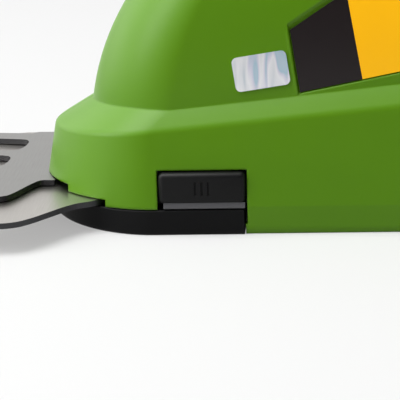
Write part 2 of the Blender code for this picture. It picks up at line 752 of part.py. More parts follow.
def screw_profile(radius, head_radius, head, length):
    return [(0, 0.4 * head), (0.45 * head_radius, head), (0.8 * head_radius, head),
            (head_radius, 0.6 * head), (head_radius, 0), (radius, 0), (radius, -length + radius),
            (0, -length)]


def housing_screw(name, at):
    return turned(name, screw_profile(SCREW_RADIUS, SCREW_HEAD_RADIUS, SCREW_HEAD, SCREW_LENGTH),
                  SCREW_STEEL, at, (-math.pi / 2, 0, 0), sides=10)


def tooth_row(count, root_x, tip_x):
    """Tooth edges from +Y to -Y: each gap ends in a round root."""
    points = []
    for i in range(count):
        y = ((count - 1) / 2 - i) * TOOTH_PITCH
        for side in (1, -1):
            edge = [(tip_x - 6 * MM, y + side * (TOOTH_TIP / 2 + 0.2 * MM)),
                    (tip_x - 1.2 * MM, y + side * (TOOTH_TIP / 2 - 0.5 * MM)),
                    (tip_x, y + side * TOOTH_TIP / 5)]
            points += edge if side > 0 else edge[::-1]
        if i < count - 1:
            points += round_root(root_x, y - TOOTH_PITCH / 2, (TOOTH_PITCH - TOOTH_ROOT) / 2)
    return points


def round_root(root_x, middle, reach, steps=8):
    """The closed end of the gap between two teeth: a flat bottom with round corners."""
    points = []
    for k in range(steps + 1):
        across, deep = math.cos(math.pi * k / steps), math.sin(math.pi * k / steps)
        points.append((root_x + 0.55 * reach * (1 - deep ** 0.8),
                       middle + reach * math.copysign(abs(across) ** 0.8, across)))
    return points


def circle(x, y, radius, count=20):
    return [(x + radius * math.cos(2 * math.pi * i / count), y + radius * math.sin(2 * math.pi * i / count))
            for i in range(count)]


def slot(x, y, half_length, radius, count=16):
    points = []
    for i in range(count):
        angle = 2 * math.pi * i / count
        shift = half_length if math.cos(angle) >= 0 else -half_length
        points.append((x + shift + radius * math.cos(angle), y + radius * math.sin(angle)))
    return points


def s_curve(x0, y0, x1, y1, steps=6):
    """A smooth shoulder between two widths of a blade."""
    points = []
    for k in range(steps + 1):
        f = k / steps
        points.append((x0 + (x1 - x0) * f, y0 + (y1 - y0) * (f * f * (3 - 2 * f))))
    return points


def lower_outline():
    body = [(BASE_REAR - 6 * MM, LOWER_TAIL_HALF - 2 * MM), (BASE_REAR - 8 * MM, LOWER_TAIL_HALF),
            (RIM_STEP_2_X - GAP, LOWER_TAIL_HALF + 2 * MM), (RIM_STEP_2_X - GAP, 27.6 * MM)]
    body += s_curve(-19 * MM, 31.0 * MM, -42 * MM, LOWER_HALF - 0.4 * MM)
    body += [(-50 * MM, LOWER_HALF), (-58 * MM, LOWER_HALF - 2 * MM)]
    teeth = [(-x, y) for x, y in tooth_row(LOWER_TEETH, LOWER_ROOT_X, LOWER_TIP_X)]
    return body + teeth + [(x, -y) for x, y in reversed(body)]


def shoulder_radius():
    """How far from the pivot the upper blade's rear edge runs, to pass the corner of the rim."""
    y = BODY_HALF * (1 - (-RIM_STEP_1_X / NOSE_FRONT) ** NOSE_POWER) ** (1 / NOSE_POWER)
    return math.hypot(RIM_STEP_1_X, y) + SLIDE_GAP


def upper_outline():
    """Tail and neck under the nose, a round shoulder in front of the rim, then the wide front."""
    radius = shoulder_radius()
    body = [(TAIL_END_X, TAIL_HALF - 3 * MM), (TAIL_END_X - 3 * MM, TAIL_HALF),
            (PIVOT_RADIUS + 4 * MM, TAIL_HALF), (-6 * MM, NECK_HALF),
            (RIM_STEP_1_X - 2.6 * MM, NECK_HALF)]
    first, last = math.asin((NECK_HALF + 3 * MM) / radius), math.asin(SHOULDER_HALF / radius)
    for k in range(5):
        angle = first + (last - first) * k / 4
        body.append((-radius * math.cos(angle), radius * math.sin(angle)))
    body += s_curve(-33.4 * MM, SHOULDER_HALF + 0.3 * MM, -40 * MM, UPPER_HALF - 0.8 * MM)
    body += [(-42.5 * MM, UPPER_HALF), (-52 * MM, UPPER_HALF - 1.2 * MM), (-53.4 * MM, UPPER_HALF - 3.2 * MM)]
    teeth = [(-x, y) for x, y in tooth_row(UPPER_TEETH, UPPER_ROOT_X, UPPER_TIP_X)]
    return body + teeth + [(x, -y) for x, y in reversed(body)]


def blade_screw_places():
    return [(x, side * y) for x, y in BLADE_SCREWS for side in (-1, 1)]


def make_blades():
    holes = [circle(0, 0, PIVOT_RADIUS + GAP)]
    screw_holes = [circle(x, y, SCREW_RADIUS + GAP, 12) for x, y in blade_screw_places()]
    plate("lower_blade", [lower_outline()] + holes + screw_holes, LOWER_Z, LOWER_Z + BLADE_THICK, STEEL)
    pin_slot = slot(CRANK_X, 0, CRANK_THROW + SLIDE_GAP, PIN_RADIUS + GAP)
    plate("upper_blade", [upper_outline()] + holes + [pin_slot], UPPER_Z, UPPER_Z + BLADE_THICK, STEEL,
          turn=(0, 0, -SWING))
    top = UPPER_Z + BLADE_THICK + GAP
    turned("pivot_bolt", screw_profile(PIVOT_RADIUS, PIVOT_HEAD_RADIUS, PIVOT_HEAD_HEIGHT,
                                       top - BASE_FLOOR - GAP), SCREW_STEEL, (0, 0, top), sides=24)
    for number, (x, y) in enumerate(blade_screw_places(), 1):
        seat = LOWER_Z + BLADE_THICK + GAP
        turned("blade_screw_%d" % number, screw_profile(SCREW_RADIUS, SCREW_HEAD_RADIUS, 1.6 * MM,
                                                        seat - BASE_FLOOR - 1 * MM), SCREW_STEEL,
               (x, y, seat), sides=12)


def base_rings(inset, low, high):
    """Rings of the blade base: flush with the nose above it, its lower edge rounded."""
    rings = []
    rows = [(FOOT_IN, low), (0.2 * FOOT_IN, low + FOOT_ROUND), (0.0, high)] if inset == 0 else \
        [(0.0, low), (0.0, high)]
    for extra, z in rows:
        front, half = NOSE_FRONT - BASE_NOSE_IN - extra - inset, BODY_HALF - extra - inset
        rings.append(plan_outline(front, half, BASE_REAR - inset, front, BASE_CORNER, lambda x, z=z: z))
    return rings


def make_base():
    """The blade base: an open tray with posts for the bolt, the insert and the screws."""
    base = loft("blade_base", base_rings(0, 0.0, BASE_HEIGHT), BLACK)
    hollow = loft("base_hollow", base_rings(WALL, BASE_FLOOR, BASE_HEIGHT + 5 * MM))
    cut(hollow, rod("pivot_post", INSERT_RADIUS + 3 * MM, -5 * MM, 30 * MM, sides=24),
        box("base_rib_long", (-50 * MM, -RIB / 2, -5 * MM), (60 * MM, RIB / 2, 30 * MM)),
        box("base_rib_cross", (4 * MM, -60 * MM, -5 * MM), (4 * MM + RIB, 60 * MM, 30 * MM)),
        *[rod("screw_post_%d" % n, BOSS_RADIUS - 0.6 * MM, -5 * MM, 30 * MM, at=(x, y, 0), sides=14)
          for n, (x, y) in enumerate(blade_screw_places(), 1)])
    cut(base, hollow, rod("insert_seat", INSERT_RADIUS + GAP, BASE_FLOOR, 30 * MM, sides=24),
        *[rod("screw_hole_%d" % n, SCREW_RADIUS + GAP, BASE_FLOOR, 30 * MM, at=(x, y, 0), sides=12)
          for n, (x, y) in enumerate(blade_screw_places(), 1)])
    ring_of("pivot_insert", INSERT_RADIUS, PIVOT_RADIUS + GAP, BASE_FLOOR + GAP, BASE_HEIGHT, BRASS, sides=24)


def gear_outline(teeth, phase=0.0):
    """Straight-sided teeth with room to run: one at the angle phase, in tooth pitches."""
    radius = GEAR_MODULE * teeth / 2
    tip, root = radius + 0.72 * GEAR_MODULE, radius - 1.05 * GEAR_MODULE
    step = 2 * math.pi / teeth
    points = []
    for i in range(teeth):
        middle = (i + phase) * step
        wide_root, wide_tip = 0.27 * step * radius / root, 0.115 * step * radius / tip
        points += [(root, middle - wide_root), (tip, middle - wide_tip), (tip, middle + wide_tip),
                   (root, middle + wide_root)]
    return [(r * math.cos(a), r * math.sin(a)) for r, a in points]


def make_gears():
    top = CRANK_GEAR_Z + GEAR_FACE
    crank = prism("crank_gear", gear_outline(CRANK_TEETH), CRANK_GEAR_Z, top, NYLON, at=(CRANK_X, 0, 0))
    join(crank, rod("crank_hub", HUB_RADIUS, HUB_FOOT_Z, CRANK_GEAR_Z + 1 * MM, at=(CRANK_X, 0, 0), sides=28))
    cut(crank, rod("pin_seat", PIN_RADIUS + GAP, HUB_FOOT_Z - 5 * MM, CRANK_GEAR_Z - 1.2 * MM,
                   at=(CRANK_X, -CRANK_THROW, 0)),
        rod("shaft_seat", SHAFT_RADIUS + RUN_GAP, CRANK_GEAR_Z + 0.4 * MM, top + 5 * MM,
            at=(CRANK_X, 0, 0)))
    rod("crank_pin", PIN_RADIUS, RIM_Z1, CRANK_GEAR_Z - 1.2 * MM - GAP, SCREW_STEEL,
        at=(CRANK_X, -CRANK_THROW, 0))
    make_idler()
    make_pinion()


def make_idler():
    top = IDLER_GEAR_Z + GEAR_FACE - 1 * MM
    idler = prism("idler_gear", gear_outline(IDLER_BIG_TEETH), IDLER_GEAR_Z, top, NYLON, at=(IDLER_X, 0, 0))
    small = prism("idler_small", gear_outline(IDLER_SMALL_TEETH, 0.5), CRANK_GEAR_Z - 0.5 * MM,
                  IDLER_GEAR_Z + 1 * MM, at=(IDLER_X, 0, 0))
    join(idler, small)
    cut(idler, rod("idler_bore", SHAFT_RADIUS + RUN_GAP, 0, 80 * MM, at=(IDLER_X, 0, 0)))
    rod("idler_shaft", SHAFT_RADIUS, CASE_FLOOR_Z + 1 * MM, CASE_TOP_Z - 1 * MM, SCREW_STEEL,
        at=(IDLER_X, 0, 0))
    rod("crank_shaft", SHAFT_RADIUS, CRANK_GEAR_Z + 0.4 * MM + RUN_GAP, CASE_TOP_Z - 1 * MM, SCREW_STEEL,
        at=(CRANK_X, 0, 0))


def make_pinion():
    bore = circle(0, 0, ROTOR_RADIUS + GAP, 14)
    plate("motor_pinion", [gear_outline(PINION_TEETH, 0.5), bore], IDLER_GEAR_Z - 0.5 * MM,
          IDLER_GEAR_Z + GEAR_FACE, BRASS, at=(MOTOR_X, 0, 0))
    rod("rotor_shaft", ROTOR_RADIUS, IDLER_GEAR_Z - 1 * MM, MOTOR_Z + MOTOR_LENGTH + 2 * MM, SCREW_STEEL,
        at=(MOTOR_X, 0, 0), sides=14)


def case_outline(grow, count=14):
    """Stadium round the crank axis and the motor axis."""
    points = []
    for x, start in ((MOTOR_X, -math.pi / 2), (CRANK_X, math.pi / 2)):
        for k in range(count + 1):
            angle = start + math.pi * k / count
            points.append((x + (CASE_HALF + grow) * math.cos(angle), (CASE_HALF + grow) * math.sin(angle)))
    return points


def case_screw_places():
    return [((CRANK_X + MOTOR_X) / 2 + dx, side * (CASE_HALF - 3.2 * MM))
            for dx, side in ((13.5 * MM, -1), (13.5 * MM, 1))]


def make_gearcase():
    split = CASE_FLOOR_Z + CASE_FLOOR
    screw_holes = [circle(x, y, SCREW_RADIUS + GAP, 12) for x, y in case_screw_places()]
    floor_holes = [circle(CRANK_X, 0, HUB_RADIUS + RUN_GAP + BUSH_WALL + GAP, 28),
                   circle(IDLER_X, 0, SHAFT_RADIUS + GAP)]
    plate("gearcase_floor", [case_outline(0)] + floor_holes + screw_holes, CASE_FLOOR_Z, split, DARK)
    cover = prism("gearcase_cover", case_outline(0), split + GAP, CASE_TOP_Z, DARK)
    room = prism("cover_room", case_outline(-CASE_WALL), split - 5 * MM, CASE_TOP_Z - CASE_WALL - 0.5 * MM)
    posts = [rod("cover_post_%d" % n, SCREW_RADIUS + 1.7 * MM, 0, 80 * MM, at=(x, y, 0), sides=12)
             for n, (x, y) in enumerate(case_screw_places(), 1)]
    cut(room, *posts)
    cut(cover, room, rod("rotor_hole", CAN_NECK_RADIUS + 0.4 * MM, CASE_TOP_Z - 10 * MM, CASE_TOP_Z + 10 * MM,
                         at=(MOTOR_X, 0, 0)))
    for n, x in enumerate((CRANK_X, IDLER_X), 1):
        cut(cover, rod("shaft_hole_%d" % n, SHAFT_RADIUS + GAP, 0, CASE_TOP_Z - 0.7 * MM, at=(x, 0, 0)))
    for n, (x, y) in enumerate(case_screw_places(), 1):
        cut(cover, rod("cover_hole_%d" % n, SCREW_RADIUS + GAP, 0, CASE_FLOOR_Z + 13 * MM, at=(x, y, 0),
                       sides=12))
        turned("case_screw_%d" % n, screw_profile(SCREW_RADIUS, SCREW_HEAD_RADIUS, 1.8 * MM, 12 * MM),
               SCREW_STEEL, (x, y, CASE_FLOOR_Z - GAP), (math.pi, 0, 0), sides=12)
    outer, inner = HUB_RADIUS + RUN_GAP + BUSH_WALL, HUB_RADIUS + RUN_GAP
    turned("crank_bush", [(outer + 1.5 * MM, split + GAP + 1 * MM), (outer + 1.5 * MM, split + GAP),
                          (outer, split + GAP), (outer, CASE_FLOOR_Z), (inner, CASE_FLOOR_Z),
                          (inner, split + GAP + 1 * MM)], BRASS, (CRANK_X, 0, 0), closed=True)


def make_motor():
    bore, low, high = ROTOR_RADIUS + RUN_GAP, MOTOR_Z, MOTOR_Z + MOTOR_LENGTH - MOTOR_CAP
    inner, floor, outer = MOTOR_RADIUS - CAN_WALL, low + MOTOR_CAP, MOTOR_RADIUS - CAN_WALL - GAP
    turned("motor_can", [(MOTOR_RADIUS, high), (MOTOR_RADIUS, low), (CAN_NECK_RADIUS, low),
                         (CAN_NECK_RADIUS, low - CAN_NECK), (bore, low - CAN_NECK), (bore, floor),
                         (inner, floor), (inner, high)], CAN_STEEL, (MOTOR_X, 0, 0), closed=True)
    turned("motor_magnet", [(outer, high - MAGNET_SHORT), (outer, floor + GAP), (MAGNET_INNER, floor + GAP),
                            (MAGNET_INNER, high - MAGNET_SHORT)], DARK, (MOTOR_X, 0, 0), closed=True)
    core_low, core_high = low + CORE_LOW, high - CORE_HIGH
    turned("rotor_core", [(CORE_RADIUS, core_high), (CORE_RADIUS, core_low), (bore, core_low),
                          (bore, core_high)], SCREW_STEEL, (MOTOR_X, 0, 0), closed=True)
    cap = high + GAP
    turned("motor_end_cap", [(4.5 * MM, cap + MOTOR_CAP + 3 * MM), (4.5 * MM, cap + MOTOR_CAP),
                             (MOTOR_RADIUS, cap + MOTOR_CAP), (MOTOR_RADIUS, cap), (bore, cap),
                             (bore, cap + MOTOR_CAP + 3 * MM)], BLACK, (MOTOR_X, 0, 0), closed=True)


def make_buttons():
    for side in (-1, 1):
        name = "release_button_" + side_name(side)
        face, back = BODY_HALF + 0.3 * MM, BODY_HALF - BUTTON_DEPTH
        low_y, high_y = sorted((side * face, side * (back - 1 * MM)))
        button = box(name, (BUTTON_X, low_y, BUTTON_Z), (BUTTON_X + BUTTON_LENGTH, high_y,
                     BUTTON_Z + BUTTON_HEIGHT), DARK, 1.2 * MM, 2)
        inner = back - FLANGE
        flange_y = sorted((side * (back - 0.2 * MM), side * inner))
        flange = box(name + "_flange", (BUTTON_X - FLANGE_LIP, flange_y[0], BUTTON_Z),
                     (BUTTON_X + BUTTON_LENGTH + FLANGE_LIP, flange_y[1],
                      BUTTON_Z + BUTTON_HEIGHT + FLANGE_LIP))
        join(button, flange)
        middle = (BUTTON_X + BUTTON_LENGTH / 2, side * (inner - 10 * MM), SPRING_Z)
        cut(button, rod(name + "_seat", SPRING_RADIUS + 1 * MM, 0, 12 * MM, at=middle,
                        turn=(-side * math.pi / 2, 0, 0)))
        low = CASE_HALF + GAP
        spring("button_spring_" + side_name(side), SPRING_RADIUS, 4, back - FLANGE + 1.6 * MM - low,
               (middle[0], side * low, middle[2]), (-side * math.pi / 2, 0, 0))


def spring(name, radius, turns, length, at, turn=(0, 0, 0), per_turn=12):
    """A coil spring of round wire, rising along its own Z from its foot."""
    curve = bpy.data.curves.new(name, 'CURVE')
    curve.dimensions = '3D'
    curve.bevel_depth = SPRING_WIRE
    curve.bevel_resolution = 0
    curve.use_fill_caps = True
    total = turns * per_turn
    spline = curve.splines.new('POLY')
    spline.points.add(total)
    rise = length - 2 * SPRING_WIRE
    for i, point in enumerate(spline.points):
        angle = 2 * math.pi * i / per_turn
        point.co = (radius * math.cos(angle), radius * math.sin(angle),
                    SPRING_WIRE + rise * i / total, 1)
    return place(name, curve, SCREW_STEEL, at, turn)


def make_trigger():
    pivot = trigger_pivot()
    reach, drop, top = TRIGGER_LENGTH, TRIGGER_DROP, TRIGGER_TOP
    outline = [(-1.8 * MM, -1.5 * MM), (3 * MM, -0.45 * drop), (0.22 * reach, -drop - 6 * MM),
               (0.36 * reach, -drop - 7.5 * MM), (0.55 * reach, -drop - 5.0 * MM),
               (0.8 * reach, -drop - 3.2 * MM), (reach - 4 * MM, -drop - 2.2 * MM), (reach - 1.5 * MM, -drop),
               (reach - 2 * MM, -6 * MM), (reach - 5 * MM, -1 * MM), (PLUNGER_X + 4 * MM, top),
               (3 * MM, top + 0.4 * MM), (0, top + 1 * MM), (-2.6 * MM, 1.6 * MM)]
    trigger = side_plate("trigger", outline, TRIGGER_WIDTH / 2, DARK, at=pivot)
    cut(trigger, rod("trigger_bore", TRIGGER_PIN + RUN_GAP, -20 * MM, 20 * MM, at=pivot,
                     turn=(math.pi / 2, 0, 0), sides=16))
    rod("trigger_pin", TRIGGER_PIN, -TRIGGER_PIN_HALF, TRIGGER_PIN_HALF, SCREW_STEEL, at=pivot,
        turn=(math.pi / 2, 0, 0), sides=16)


def trigger_posts():
    """Posts on both inner walls that hold the ends of the trigger's pin."""
    near = TRIGGER_WIDTH / 2 + SLIDE_GAP
    return [rod("trigger_post_" + side_name(side), TRIGGER_PIN + 2 * MM, near, 60 * MM, at=trigger_pivot(),
                turn=(-side * math.pi / 2, 0, 0), sides=14) for side in (-1, 1)]


def trigger_pivot():
    return Vector((TRIGGER_X, 0, GRIP_TOP_Z - 2 * GRIP_HALF_HEIGHT + 5.2 * MM))


def make_switch():
    """The switch over the trigger; its plunger stands a gap above the trigger's top."""
    low = (SWITCH_X, -SWITCH_WIDTH / 2, SWITCH_Z)
    high = (SWITCH_X + SWITCH_LENGTH, SWITCH_WIDTH / 2, SWITCH_Z + SWITCH_HEIGHT)
    switch = box("micro_switch", low, high, BLACK, 0.5 * MM, 1)
    pivot = trigger_pivot()
    at = (TRIGGER_X + PLUNGER_X, 0, pivot.z + TRIGGER_TOP + 0.15 * MM + GAP)
    cut(switch, rod("plunger_hole", PLUNGER_RADIUS + GAP, -8 * MM,
                    PLUNGER_LENGTH + PLUNGER_TRAVEL + SLIDE_GAP, at=at, sides=12))
    rod("switch_plunger", PLUNGER_RADIUS, 0, PLUNGER_LENGTH, DARK, at=at, sides=12)


def make_lock():
    at, slope = lock_frame()
    cap = LOCK_LENGTH / 2
    lock = box("lock_off_button", (-cap, -LOCK_WIDTH / 2, 0.5 * MM), (cap, LOCK_WIDTH / 2, LOCK_HEIGHT), DARK,
               1.0 * MM, 2, at=at, turn=(0, slope, 0))
    join(lock, box("lock_stem", (-cap + 2 * MM, -LOCK_WIDTH / 4, -5.5 * MM),
                   (cap - 2 * MM, LOCK_WIDTH / 4, 1.5 * MM), at=at, turn=(0, slope, 0)),
         box("lock_foot", (-cap + 2 * MM, -LOCK_WIDTH / 2, -5.5 * MM),
             (cap - 2 * MM, LOCK_WIDTH / 2, -3.8 * MM), at=at, turn=(0, slope, 0)))


def make_battery():
    low = (PACK_FRONT_X, -PACK_HALF, PACK_Z)
    high = (PACK_FRONT_X + PACK_LENGTH, PACK_HALF, PACK_Z + PACK_HEIGHT)
    pack = box("battery_pack", low, high, BLACK, PACK_ROUND, 3)
    front = PACK_FRONT_X - 1 * MM - BLOCK_DEPTH
    block = box("contact_block", (front, -BLOCK_HALF, BLOCK_Z),
                (front + BLOCK_DEPTH, BLOCK_HALF, BLOCK_Z + BLOCK_HEIGHT), BLACK, 0.6 * MM, 1)
    middle = BLOCK_Z + BLOCK_HEIGHT / 2
    thick, high_by = CONTACT_HALF_THICK, CONTACT_HALF_HEIGHT
    for n, y in enumerate((-CONTACT_Y, CONTACT_Y), 1):
        cut(pack, box("contact_slot_%d" % n, (low[0] - 5 * MM, y - thick - 1 * MM, middle - high_by - 2 * MM),
                      (low[0] + CONTACT_REACH + 3 * MM, y + thick + 1 * MM, middle + high_by + 2 * MM)))
        cut(block, box("block_slot_%d" % n, (front - 10 * MM, y - thick - GAP, middle - high_by - GAP),
                       (low[0] + 20 * MM, y + thick + GAP, middle + high_by + GAP)))
        box("battery_contact_%d" % n, (front - 0.5 * MM, y - thick, middle - high_by),
            (low[0] + CONTACT_REACH, y + thick, middle + high_by), BRASS)
    make_latch(pack, high)


def make_latch(pack, corner):
    """A push button in the rear face of the pack; it is pressed forwards to let the pack go."""
    face, low_z = corner[0], PACK_Z + LATCH_UP
    low = (face - LATCH_DEPTH, -LATCH_WIDTH / 2, low_z)
    pocket = box("latch_pocket", (low[0] - LATCH_TRAVEL - SLIDE_GAP, low[1] - SLIDE_GAP, low_z - SLIDE_GAP),
                 (face + 5 * MM, -low[1] + SLIDE_GAP, low_z + LATCH_HEIGHT + SLIDE_GAP))
    cut(pack, pocket)
    box("battery_latch", low, (face - 0.2 * MM, -low[1], low_z + LATCH_HEIGHT), DARK, 0.8 * MM, 2)
    lens = (face - LAMP_DEPTH, -LAMP_HALF, PACK_Z + LAMP_UP)
    cut(pack, box("lamp_seat", (lens[0] - GAP, lens[1] - GAP, lens[2] - GAP),
                  (face + 5 * MM, -lens[1] + GAP, lens[2] + LAMP_HEIGHT + GAP)))
    box("charge_lamp", lens, (face - 0.1 * MM, -lens[1], lens[2] + LAMP_HEIGHT), LENS)


def make_board():
    box("control_board", (BOARD_X, -BOARD_HALF, BOARD_Z),
        (BOARD_X + BOARD_THICK, BOARD_HALF, BOARD_Z + BOARD_HEIGHT), BOARD)
    box("board_relay", (BOARD_X - RELAY_DEPTH, -RELAY_HALF, BOARD_Z + RELAY_UP),
        (BOARD_X - GAP, RELAY_HALF, BOARD_Z + RELAY_UP + RELAY_HEIGHT), BLACK, 0.6 * MM, 1)


def lead(name, points, mat):
    """An insulated lead laid through the given points."""
    curve = bpy.data.curves.new(name, 'CURVE')
    curve.dimensions = '3D'
    curve.bevel_depth = LEAD_RADIUS
    curve.bevel_resolution = 0
    curve.use_fill_caps = True
    curve.resolution_u = 4
    spline = curve.splines.new('NURBS')
    spline.points.add(len(points) - 1)
    spline.use_endpoint_u = True
    spline.order_u = 4
    for point, place_at in zip(spline.points, points):
        point.co = (*place_at, 1)
    return place(name, curve, mat)


def make_leads():
    """Both leads rise from the motor's end and lie along the handle to the switch."""
    start = (MOTOR_X + 2 * MM, LEAD_MOTOR_Y, MOTOR_Z + MOTOR_LENGTH + 0.5 * MM + LEAD_RADIUS)
    stop = (SWITCH_X + 3 * MM, LEAD_SWITCH_Y, SWITCH_Z + SWITCH_HEIGHT + 0.6 * MM + LEAD_RADIUS)
    route = ((0.0, 0.0, 0.0), (0.054, 0.0, 0.226), (0.253, 0.33, 0.447), (0.578, 0.67, 1.063),
             (0.856, 1.0, 1.063), (1.0, 1.0, 1.0))
    for name, side, mat in (("motor_lead_red", 1, RED), ("motor_lead_black", -1, BLACK_WIRE)):
        points = [[a + (b - a) * share for a, b, share in zip(start, stop, shares)] for shares in route]
        lead(name, [(x, side * y, z) for x, y, z in points], mat)


def build_all():
    make_housing()
    make_base()
    make_blades()
    make_gears()
    make_gearcase()
    make_motor()
    make_buttons()
    make_trigger()
    make_switch()
    make_lock()
    make_battery()
    make_board()
    make_leads()


build_all()
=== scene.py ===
# %% [markdown]
# Cordless garden shears, dressed for a picture.
#
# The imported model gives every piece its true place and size. This lesson loads it as a fixed frame,
# gives each piece a finish that follows what the real one is made of, and builds again the few pieces
# whose surface has to be smoother or richer than a plain solid: the green housing, the blade base,
# the films, the grip sleeve, the buttons and the screws.

# %% Load the frame
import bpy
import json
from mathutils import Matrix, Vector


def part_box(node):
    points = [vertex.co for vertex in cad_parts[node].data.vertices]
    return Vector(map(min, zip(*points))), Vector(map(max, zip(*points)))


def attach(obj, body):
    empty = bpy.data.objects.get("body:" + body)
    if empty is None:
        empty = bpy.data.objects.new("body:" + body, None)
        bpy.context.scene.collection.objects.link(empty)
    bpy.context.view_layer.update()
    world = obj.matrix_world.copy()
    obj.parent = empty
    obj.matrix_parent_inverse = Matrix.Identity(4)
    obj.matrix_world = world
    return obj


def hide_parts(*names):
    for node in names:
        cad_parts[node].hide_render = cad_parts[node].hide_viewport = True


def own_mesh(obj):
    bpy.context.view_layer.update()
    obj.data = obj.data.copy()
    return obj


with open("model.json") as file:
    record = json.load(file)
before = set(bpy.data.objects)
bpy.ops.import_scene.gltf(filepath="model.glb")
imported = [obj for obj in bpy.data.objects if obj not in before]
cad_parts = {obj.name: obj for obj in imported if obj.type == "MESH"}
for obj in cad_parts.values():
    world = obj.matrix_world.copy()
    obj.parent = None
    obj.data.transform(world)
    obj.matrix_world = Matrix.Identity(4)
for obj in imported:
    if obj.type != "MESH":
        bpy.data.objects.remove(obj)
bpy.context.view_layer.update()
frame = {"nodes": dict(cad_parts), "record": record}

import json
import math
import bmesh
import bpy
from mathutils import Matrix, Vector

MM = 0.001
SIDES = ((-1, "left"), (1, "right"))


def mm(*values):
    """A place or a set of sizes in millimetres, as metres."""
    return tuple(value * MM for value in values)


def show(name, data):
    """A new object in the scene for a mesh, a light or a camera."""
    thing = bpy.data.objects.new(name, data)
    bpy.context.scene.collection.objects.link(thing)
    return thing


# %% [markdown]
# The picture was taken from the tool's left side, a little above, with a long lens. The camera stands
# where straight lines drawn through the corners of the nose, the release button and the blades meet.
# It aims at the middle of the picture and leans by a small roll, so no lens shift is needed.

# %% Camera
CAMERA_AT, AIM_AT = Vector((54.51, -600.0, 183.44)) * MM, Vector((15.0, -35.0, 11.37)) * MM
SENSOR, LENS, ROLL = 36.0, 175.92, math.radians(-1.88)
camera = show("picture_camera", bpy.data.cameras.new("picture_camera"))
bpy.context.scene.camera = camera
camera.data.sensor_width, camera.data.lens = SENSOR, LENS
camera.data.clip_start, camera.data.clip_end = 0.05, 20.0
look = (AIM_AT - CAMERA_AT).to_track_quat('-Z', 'Y').to_matrix().to_4x4()
camera.matrix_world = Matrix.Translation(CAMERA_AT) @ look @ Matrix.Rotation(ROLL, 4, 'Z')
print("lens", LENS, "mm, camera", round((CAMERA_AT - AIM_AT).length / MM), "mm away")

# %% [markdown]
# Every finish is written with a few helpers. Colours are the hex values a picture editor shows; the
# renderer wants linear light, so one function turns them. Another adds a node, sets what it is told
# and links what it is given, so that each material reads from top to bottom like a recipe.

# %% Colour and node helpers


def colour(code):
    """Hex sRGB, such as 5A9A20, as linear red, green, blue and alpha."""
    parts = [int(code[i:i + 2], 16) / 255 for i in (0, 2, 4)]
    linear = [p / 12.92 if p <= 0.04045 else ((p + 0.055) / 1.055) ** 2.4 for p in parts]
    return (*linear, 1.0)


def feed(tree, node, inputs):
    """Fills a node's inputs, by name or number, with a value, a socket or a node's first open output."""
    for key, value in inputs.items():
        if isinstance(value, bpy.types.Node):
            value = next(output for output in value.outputs if output.enabled)
        if isinstance(value, bpy.types.NodeSocket):
            tree.links.new(value, node.inputs[key])
        else:
            node.inputs[key].default_value = value


def add(tree, kind, inputs=None, **settings):
    """Adds a node, with its settings and its inputs."""
    made = tree.nodes.new(kind)
    for key, value in settings.items():
        setattr(made, key, value)
    feed(tree, made, inputs or {})
    return made


def start_material(name, base, roughness, metallic=0.0, **more):
    """A Principled material with its plain values, and its tree and shader to build on."""
    mat = bpy.data.materials.new(name)
    mat.use_nodes = True
    tree = mat.node_tree
    shader = tree.nodes["Principled BSDF"]
    feed(tree, shader, {"Base Color": colour(base), "Roughness": roughness, "Metallic": metallic})
    feed(tree, shader, {key.replace("_", " "): value for key, value in more.items()})
    return mat, tree, shader


def per_mm(size_mm):
    """Noise scale at which one blob is about this many millimetres across."""
    return 1.0 / (size_mm * MM)


print("hex 5A8C02 in linear light:", [round(part, 3) for part in colour("5A8C02")])

# %% [markdown]
# Most of the tool is injection-moulded ABS. Its mould is spark-eroded, which leaves a fine satin
# grain, and the thick walls sink a little, so the gloss wanders over centimetres. One function builds
# that finish: a grain bump, a slow change of gloss, and a faint change of tone.

# %% Moulded plastics
SINK_MM, GRAIN_STRENGTH = 38, 0.35


def moulded(name, base, shade, roughness, grain_mm, depth_mm, edge_mm=0.0, **more):
    """Satin moulded plastic: grain, wandering gloss, a faint second tone and edges rounded by edge_mm."""
    mat, tree, shader = start_material(name, base, roughness, **more)
    place = add(tree, 'ShaderNodeTexCoord').outputs["Object"]
    slow = add(tree, 'ShaderNodeTexNoise', {"Vector": place, "Scale": per_mm(SINK_MM), "Detail": 2.0})
    tone = add(tree, 'ShaderNodeMix', {"Factor": slow, 6: colour(base), 7: colour(shade)}, data_type='RGBA')
    gloss = add(tree, 'ShaderNodeMapRange', {"Value": slow, "From Min": 0.3, "From Max": 0.7,
                                             "To Min": roughness - 0.04, "To Max": roughness + 0.05})
    grain = add(tree, 'ShaderNodeTexNoise', {"Vector": place, "Scale": per_mm(grain_mm), "Detail": 3.0,
                                             "Roughness": 0.6})
    bump = add(tree, 'ShaderNodeBump', {"Height": grain, "Strength": GRAIN_STRENGTH,
                                        "Distance": depth_mm * MM})
    if edge_mm:
        feed(tree, bump, {"Normal": add(tree, 'ShaderNodeBevel', {"Radius": edge_mm * MM}, samples=6)})
    feed(tree, shader, {"Base Color": tone, "Roughness": gloss, "Normal": bump})
    return mat


# grain of a spark-eroded mould is about 0.1 mm; 0.5 mm is the finest that shows at this distance
green_abs = moulded("green_abs_satin", "5A8C02", "538401", 0.36, 0.5, 0.05, 0.9, Specular_IOR_Level=0.26)
# the base is glass-filled nylon, a little rougher and not quite black
black_nylon = moulded("black_glass_filled_nylon", "040405", "070708", 0.46, 0.6, 0.08, 0.4,
                      Specular_IOR_Level=0.12)
dark_abs = moulded("dark_grey_abs", "0D0D0D", "111112", 0.42, 0.5, 0.05, 0.35, Specular_IOR_Level=0.16)
# the release buttons' lip: its paler grey is a painted reflection of the bright floor on the dark plastic
lip_painted_reflection = moulded("dark_abs_painted_reflection", "47474A", "545457", 0.4, 0.5, 0.05, 0.2)
pack_abs = moulded("black_abs_coarse_grain", "18181A", "1E1E20", 0.5, 0.9, 0.12)
